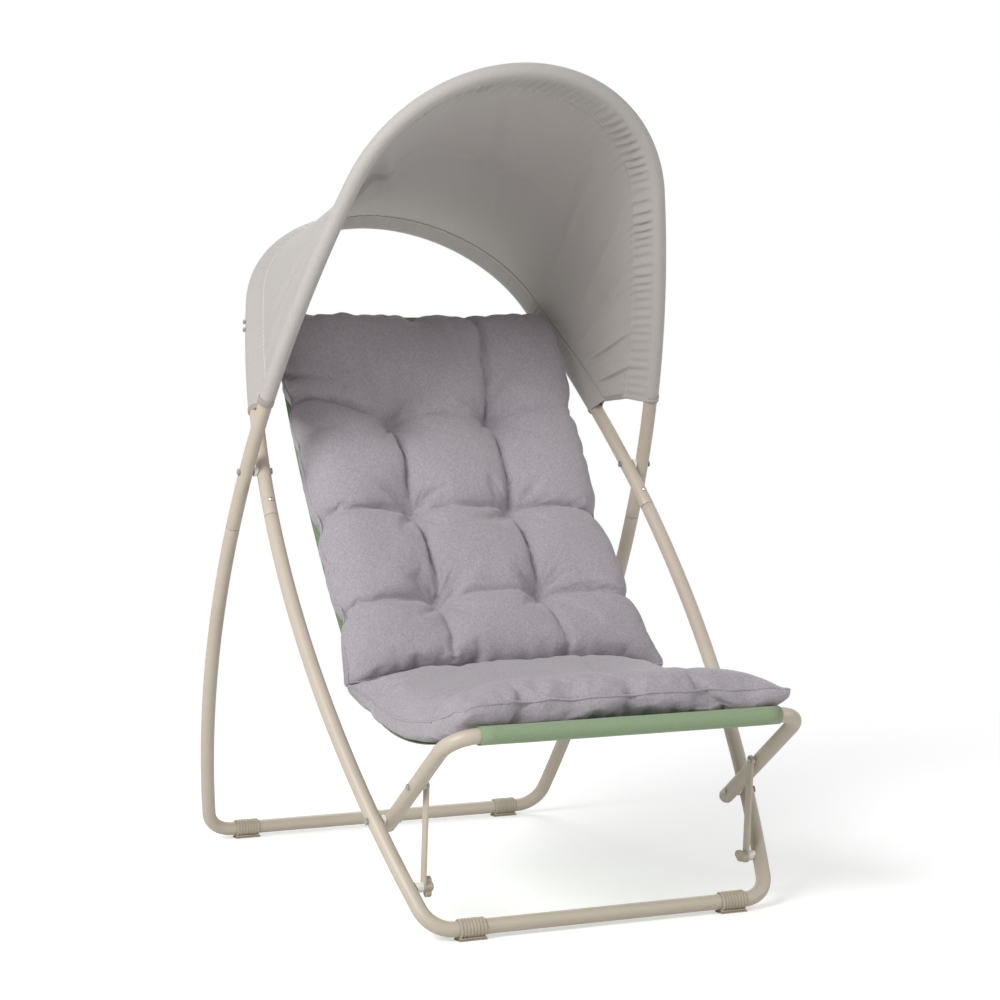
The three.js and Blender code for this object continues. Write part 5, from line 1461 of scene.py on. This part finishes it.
class LOUNGER_OT_canopy(bpy.types.Operator):
    """Hangs the canopy cloth between the hoops, with the tape round its hems"""
    bl_idname = "lounger.canopy"
    bl_label = "Canopy"

    def execute(self, context):
        canopy = context.scene.lounger_canopy
        line = CanopyLine(context.scene.lounger_frame, canopy)
        columns = canopy.columns
        sections = [line.section(i / columns) for i in range(columns + 1)]
        lengths = [path_lengths(points) for points, _, _ in sections]

        def place(i, j):
            points, front_mark, rear_mark = sections[i]
            run = lengths[i]
            flat = (i / columns * line.hood_length, run[j])
            inside = j < 2 or j > len(points) - 3
            return points[j], flat, {
                "front_seam": abs(run[j] - run[front_mark]) if not inside else abs(run[j] - run[1]),
                "rear_seam": abs(run[rear_mark] - run[j]) if not inside else abs(run[j] - run[-2]),
            }

        rows = len(sections[0][0]) - 1
        bm = cloth_grid(columns, rows, place, ["front_seam", "rear_seam"])
        bmesh.ops.recalc_face_normals(bm, faces=bm.faces)
        area = sum(face.calc_area() for face in bm.faces)
        made = piece_of(bm, "canopy_cloth", "coated_polyester_canopy", 1.4)
        thicken(made, canopy.cloth)
        apply_all(made)
        bend_with_hoops(made, line)
        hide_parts("canopy_panel", "canopy_front_sleeve", "canopy_rear_sleeve")
        tapes = [self.tape(context, line, side) for side in SIDES]
        return {"FINISHED"}

    def outer_run(self, line, s):
        """The part of a section that shows: round the front hoop, over the panel and round the rear hoop."""
        points, front_mark, rear_mark = line.section(s)
        shown = line.ROLL_STEPS + line.GATHER_STEPS
        return points[front_mark - shown:rear_mark + shown]

    def tape(self, context, line, side):
        """A narrow tape folded over one hem, outside and inside."""
        canopy = context.scene.lounger_canopy
        hem, inward = (0.0, 1) if side == "right" else (1.0, -1)
        step = canopy.binding / line.hood_length * inward
        # Down the outside, round the hem's edge and up the inside
        shares = [hem + step * part for part in (1, 0.5, 0, -0.08, 0, 0.5, 1)]
        faces = [1, 1, 1, 0, -1, -1, -1]
        columns = [self.outer_run(line, max(0.0, min(1.0, s))) for s in shares]
        proud = canopy.cloth / 2 + canopy.tape_gap

        def place(i, j):
            points = columns[i]
            ahead = points[min(j + 1, len(points) - 1)] - points[max(j - 1, 0)]
            across = columns[0][j] - columns[2][j]
            normal = ahead.cross(across).normalized()
            point = points[j] + normal * (proud * faces[i])
            if faces[i] == 0:
                point.z -= canopy.tape_drop
            return point, (j * canopy.tape_face, i * canopy.tape_face), {"seam": abs(i - 1) * canopy.tape_face}

        bm = cloth_grid(len(shares) - 1, len(columns[0]) - 1, place, ["seam"])
        bmesh.ops.recalc_face_normals(bm, faces=bm.faces)
        made = piece_of(bm, f"canopy_tape_{side}", "woven_polyester_tape", 1.4)
        thicken(made, canopy.tape)
        apply_all(made)
        bend_with_hoops(made, line)
        return made


# Hard pieces that keep their CAD shape get their finish here


class LOUNGER_OT_hardware(bpy.types.Operator):
    """Gives the rivets, buttons, spacers, links and plugs their finishes"""
    bl_idname = "lounger.hardware"
    bl_label = "Hardware finishes"

    def execute(self, context):
        kinds = [
            (("_rivet", "screw", "button", "stud"), "zinc_plated_steel"),
            (("spacer", "washer"), "moulded_nylon"),
            (("_pad",), "moulded_rubber"),
            (("foot", "knob", "cap", "plug"), "moulded_polypropylene"),
            (("crossbar", "support_link"), "powder_coated_steel"),
        ]
        for name, node in frame["nodes"].items():
            for words, material in kinds:
                if any(word in name for word in words):
                    node.data.materials.clear()
                    node.data.materials.append(finish(material))
                    break
        return {"FINISHED"}


class LOUNGER_OT_feet(bpy.types.Operator):
    """Makes the ribbed clips that carry the floor bars"""
    bl_idname = "lounger.feet"
    bl_label = "Feet"

    def execute(self, context):
        sizes = context.scene.lounger_feet
        half, ribs, skin, rib, bore = sizes.half_length, sizes.ribs, sizes.skin_radius, sizes.rib_height, sizes.bore
        pitch = 2 * half / ribs
        rim = sizes.rim
        profile = [(-half, bore), (-half, skin - rim), (-half + rim, skin)]
        for i in range(ribs):
            # Each rib takes the middle of its pitch, with sloping sides
            for part, up in ((0.2, 0), (0.35, rib), (0.65, rib), (0.8, 0)):
                profile.append((-half + pitch * (i + part), skin + up))
        profile += [(half - rim, skin), (half, skin - rim), (half, bore), (-half, bore)]
        for name in FEET:
            low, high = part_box(name)
            middle = (low + high) / 2
            bar_z = high.z - skin - rib
            thick = bar_z - bore - low.z
            bm = bmesh.new()
            turned_piece(bm, profile, Matrix.Translation((middle.x, middle.y, bar_z)))
            base = bmesh.ops.create_cube(bm, size=1)["verts"]
            bmesh.ops.scale(bm, vec=(2 * half, high.y - low.y - 2 * sizes.base_inset, thick), verts=base)
            bmesh.ops.translate(bm, vec=(middle.x, middle.y, low.z + thick / 2), verts=base)
            edges = list({edge for vert in base for edge in vert.link_edges})
            bmesh.ops.bevel(bm, geom=edges, offset=sizes.edge_round, offset_type="OFFSET", affect="EDGES", segments=2,
                            profile=0.5, material=-1)
            made = piece_of(bm, f"{name}_clip", "moulded_polypropylene", 0.5)
            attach(made, "inner_frame" if name.startswith("front") else "outer_frame")
            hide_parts(name)
        return {"FINISHED"}


def camera_stand(stage):
    a, e, r = stage.azimuth, stage.elevation, stage.roll
    back = Vector((math.sin(a) * math.cos(e), -math.cos(a) * math.cos(e), math.sin(e)))
    right = Vector((math.cos(a), math.sin(a), 0))
    up = back.cross(right)
    rows = (right * math.cos(r) + up * math.sin(r), up * math.cos(r) - right * math.sin(r), back)
    stand = Matrix(rows).transposed().to_4x4()
    stand.translation = stage.place
    return stand


def area_light(name, place, target, size, power):
    lamp = bpy.data.lights.new(name, "AREA")
    lamp.shape = "SQUARE"
    lamp.size = size
    lamp.energy = power
    made = bpy.data.objects.new(name, lamp)
    made.location = place
    made.rotation_euler = (Vector(target) - Vector(place)).to_track_quat("-Z", "Y").to_euler()
    bpy.context.scene.collection.objects.link(made)


class LOUNGER_OT_stage(bpy.types.Operator):
    """Sets the camera, the soft lights, and the pale floor and backdrop"""
    bl_idname = "lounger.stage"
    bl_label = "Stage"

    def execute(self, context):
        scene = context.scene
        stage = scene.lounger_stage
        scene.view_settings.view_transform = "Standard"
        lens = bpy.data.cameras.new("camera")
        lens.lens = stage.lens
        lens.sensor_width = 36
        lens.clip_end = 60
        camera = bpy.data.objects.new("camera", lens)
        camera.matrix_world = camera_stand(stage)
        scene.collection.objects.link(camera)
        scene.camera = camera
        area_light("key", (-4.0, -2.2, 3.3), target=(0, 0, 0.6), size=2.2, power=215)
        area_light("fill", (3.4, -3.2, 1.6), target=(0, 0, 0.6), size=3.0, power=38)
        area_light("back", (1.5, 3.4, 3.0), target=(0, 0, 0.7), size=2.5, power=60)
        self.world(scene, stage)
        self.floor(scene, stage)
        return {"FINISHED"}

    def world(self, scene, stage):
        world = bpy.data.worlds.new("studio")
        world.use_nodes = True
        tree = world.node_tree
        tree.nodes.clear()
        path = add_node(tree, "ShaderNodeLightPath").outputs
        seen = maths(tree, "MAXIMUM", path["Is Camera Ray"], path["Is Glossy Ray"])
        seen = maths(tree, "MAXIMUM", seen, path["Is Transmission Ray"])
        light = add_node(tree, "ShaderNodeBackground", {"Color": (1, 1, 1, 1), "Strength": stage.ambient})
        white = add_node(tree, "ShaderNodeBackground", {"Color": (1, 1, 1, 1), "Strength": 1.0})
        mixed = add_node(tree, "ShaderNodeMixShader", {0: seen, 1: light.outputs[0], 2: white.outputs[0]})
        add_node(tree, "ShaderNodeOutputWorld", {"Surface": mixed.outputs[0]})
        scene.world = world

    def floor(self, scene, stage):
        # Matt studio card: plain white, lifted for the camera so that only the shadow is seen on it
        tree = new_tree("matt_studio_card")
        card = add_node(tree, "ShaderNodeBsdfDiffuse", {"Color": (*scene.lounger_finishes.floor, 1)})
        camera_ray = add_node(tree, "ShaderNodeLightPath").outputs["Is Camera Ray"]
        lift = maths(tree, "MULTIPLY", camera_ray, stage.floor_lift)
        glow = add_node(tree, "ShaderNodeEmission", {"Color": (1, 1, 1, 1), "Strength": lift})
        both = add_node(tree, "ShaderNodeAddShader", {0: card.outputs[0], 1: glow.outputs[0]})
        away = add_node(tree, "ShaderNodeVectorMath", {0: object_place(tree)}, operation="LENGTH").outputs["Value"]
        far = add_node(tree, "ShaderNodeMapRange", {"Value": away, "From Min": stage.fade_from,
                       "From Max": stage.fade_to}, interpolation_type="SMOOTHSTEP").outputs[0]
        seen_far = maths(tree, "MULTIPLY", far, camera_ray)
        white = add_node(tree, "ShaderNodeEmission", {"Color": (1, 1, 1, 1), "Strength": 1.0})
        mixed = add_node(tree, "ShaderNodeMixShader", {0: seen_far, 1: both.outputs[0], 2: white.outputs[0]})
        add_node(tree, "ShaderNodeOutputMaterial", {"Surface": mixed.outputs[0]})
        bm = bmesh.new()
        bmesh.ops.create_grid(bm, x_segments=1, y_segments=1, size=stage.far)
        mesh = bpy.data.meshes.new("floor")
        bm.to_mesh(mesh)
        bm.free()
        mesh.materials.append(finish("matt_studio_card"))
        floor = bpy.data.objects.new("floor", mesh)
        scene.collection.objects.link(floor)


class LOUNGER_PT_panel(bpy.types.Panel):
    """Lists the pieces of the lounger"""
    bl_idname = "LOUNGER_PT_panel"
    bl_label = "Lounger"
    bl_space_type = "VIEW_3D"
    bl_region_type = "UI"
    bl_category = "Lounger"

    def draw(self, context):
        for operator in OPERATORS:
            self.layout.operator(operator.bl_idname)


GROUPS = {
    "lounger_frame": LoungerFrameSizes,
    "lounger_sling": LoungerSlingSizes,
    "lounger_cushions": LoungerCushionSizes,
    "lounger_canopy": LoungerCanopySizes,
    "lounger_feet": LoungerFeetSizes,
    "lounger_finishes": LoungerFinishes,
    "lounger_stage": LoungerStage,
}
OPERATORS = (
    LOUNGER_OT_stage,
    LOUNGER_OT_loops,
    LOUNGER_OT_seat_frame,
    LOUNGER_OT_hardware,
    LOUNGER_OT_feet,
    LOUNGER_OT_sling,
    LOUNGER_OT_back_cushion,
    LOUNGER_OT_seat_cushion,
    LOUNGER_OT_canopy,
)


def register():
    for name, group in GROUPS.items():
        bpy.utils.register_class(group)
        setattr(bpy.types.Scene, name, bpy.props.PointerProperty(type=group))
    for kind in (*OPERATORS, LOUNGER_PT_panel):
        bpy.utils.register_class(kind)


def unregister():
    for kind in reversed((*OPERATORS, LOUNGER_PT_panel)):
        bpy.utils.unregister_class(kind)
    for name, group in reversed(GROUPS.items()):
        delattr(bpy.types.Scene, name)
        bpy.utils.unregister_class(group)


def main():
    register()
    make_finishes(bpy.context)
    bpy.ops.lounger.stage()
    bpy.ops.lounger.loops()
    bpy.ops.lounger.seat_frame()
    bpy.ops.lounger.hardware()
    bpy.ops.lounger.feet()
    bpy.ops.lounger.sling()
    bpy.ops.lounger.back_cushion()
    bpy.ops.lounger.seat_cushion()
    bpy.ops.lounger.canopy()
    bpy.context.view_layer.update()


if __name__ == "__main__":
    main()
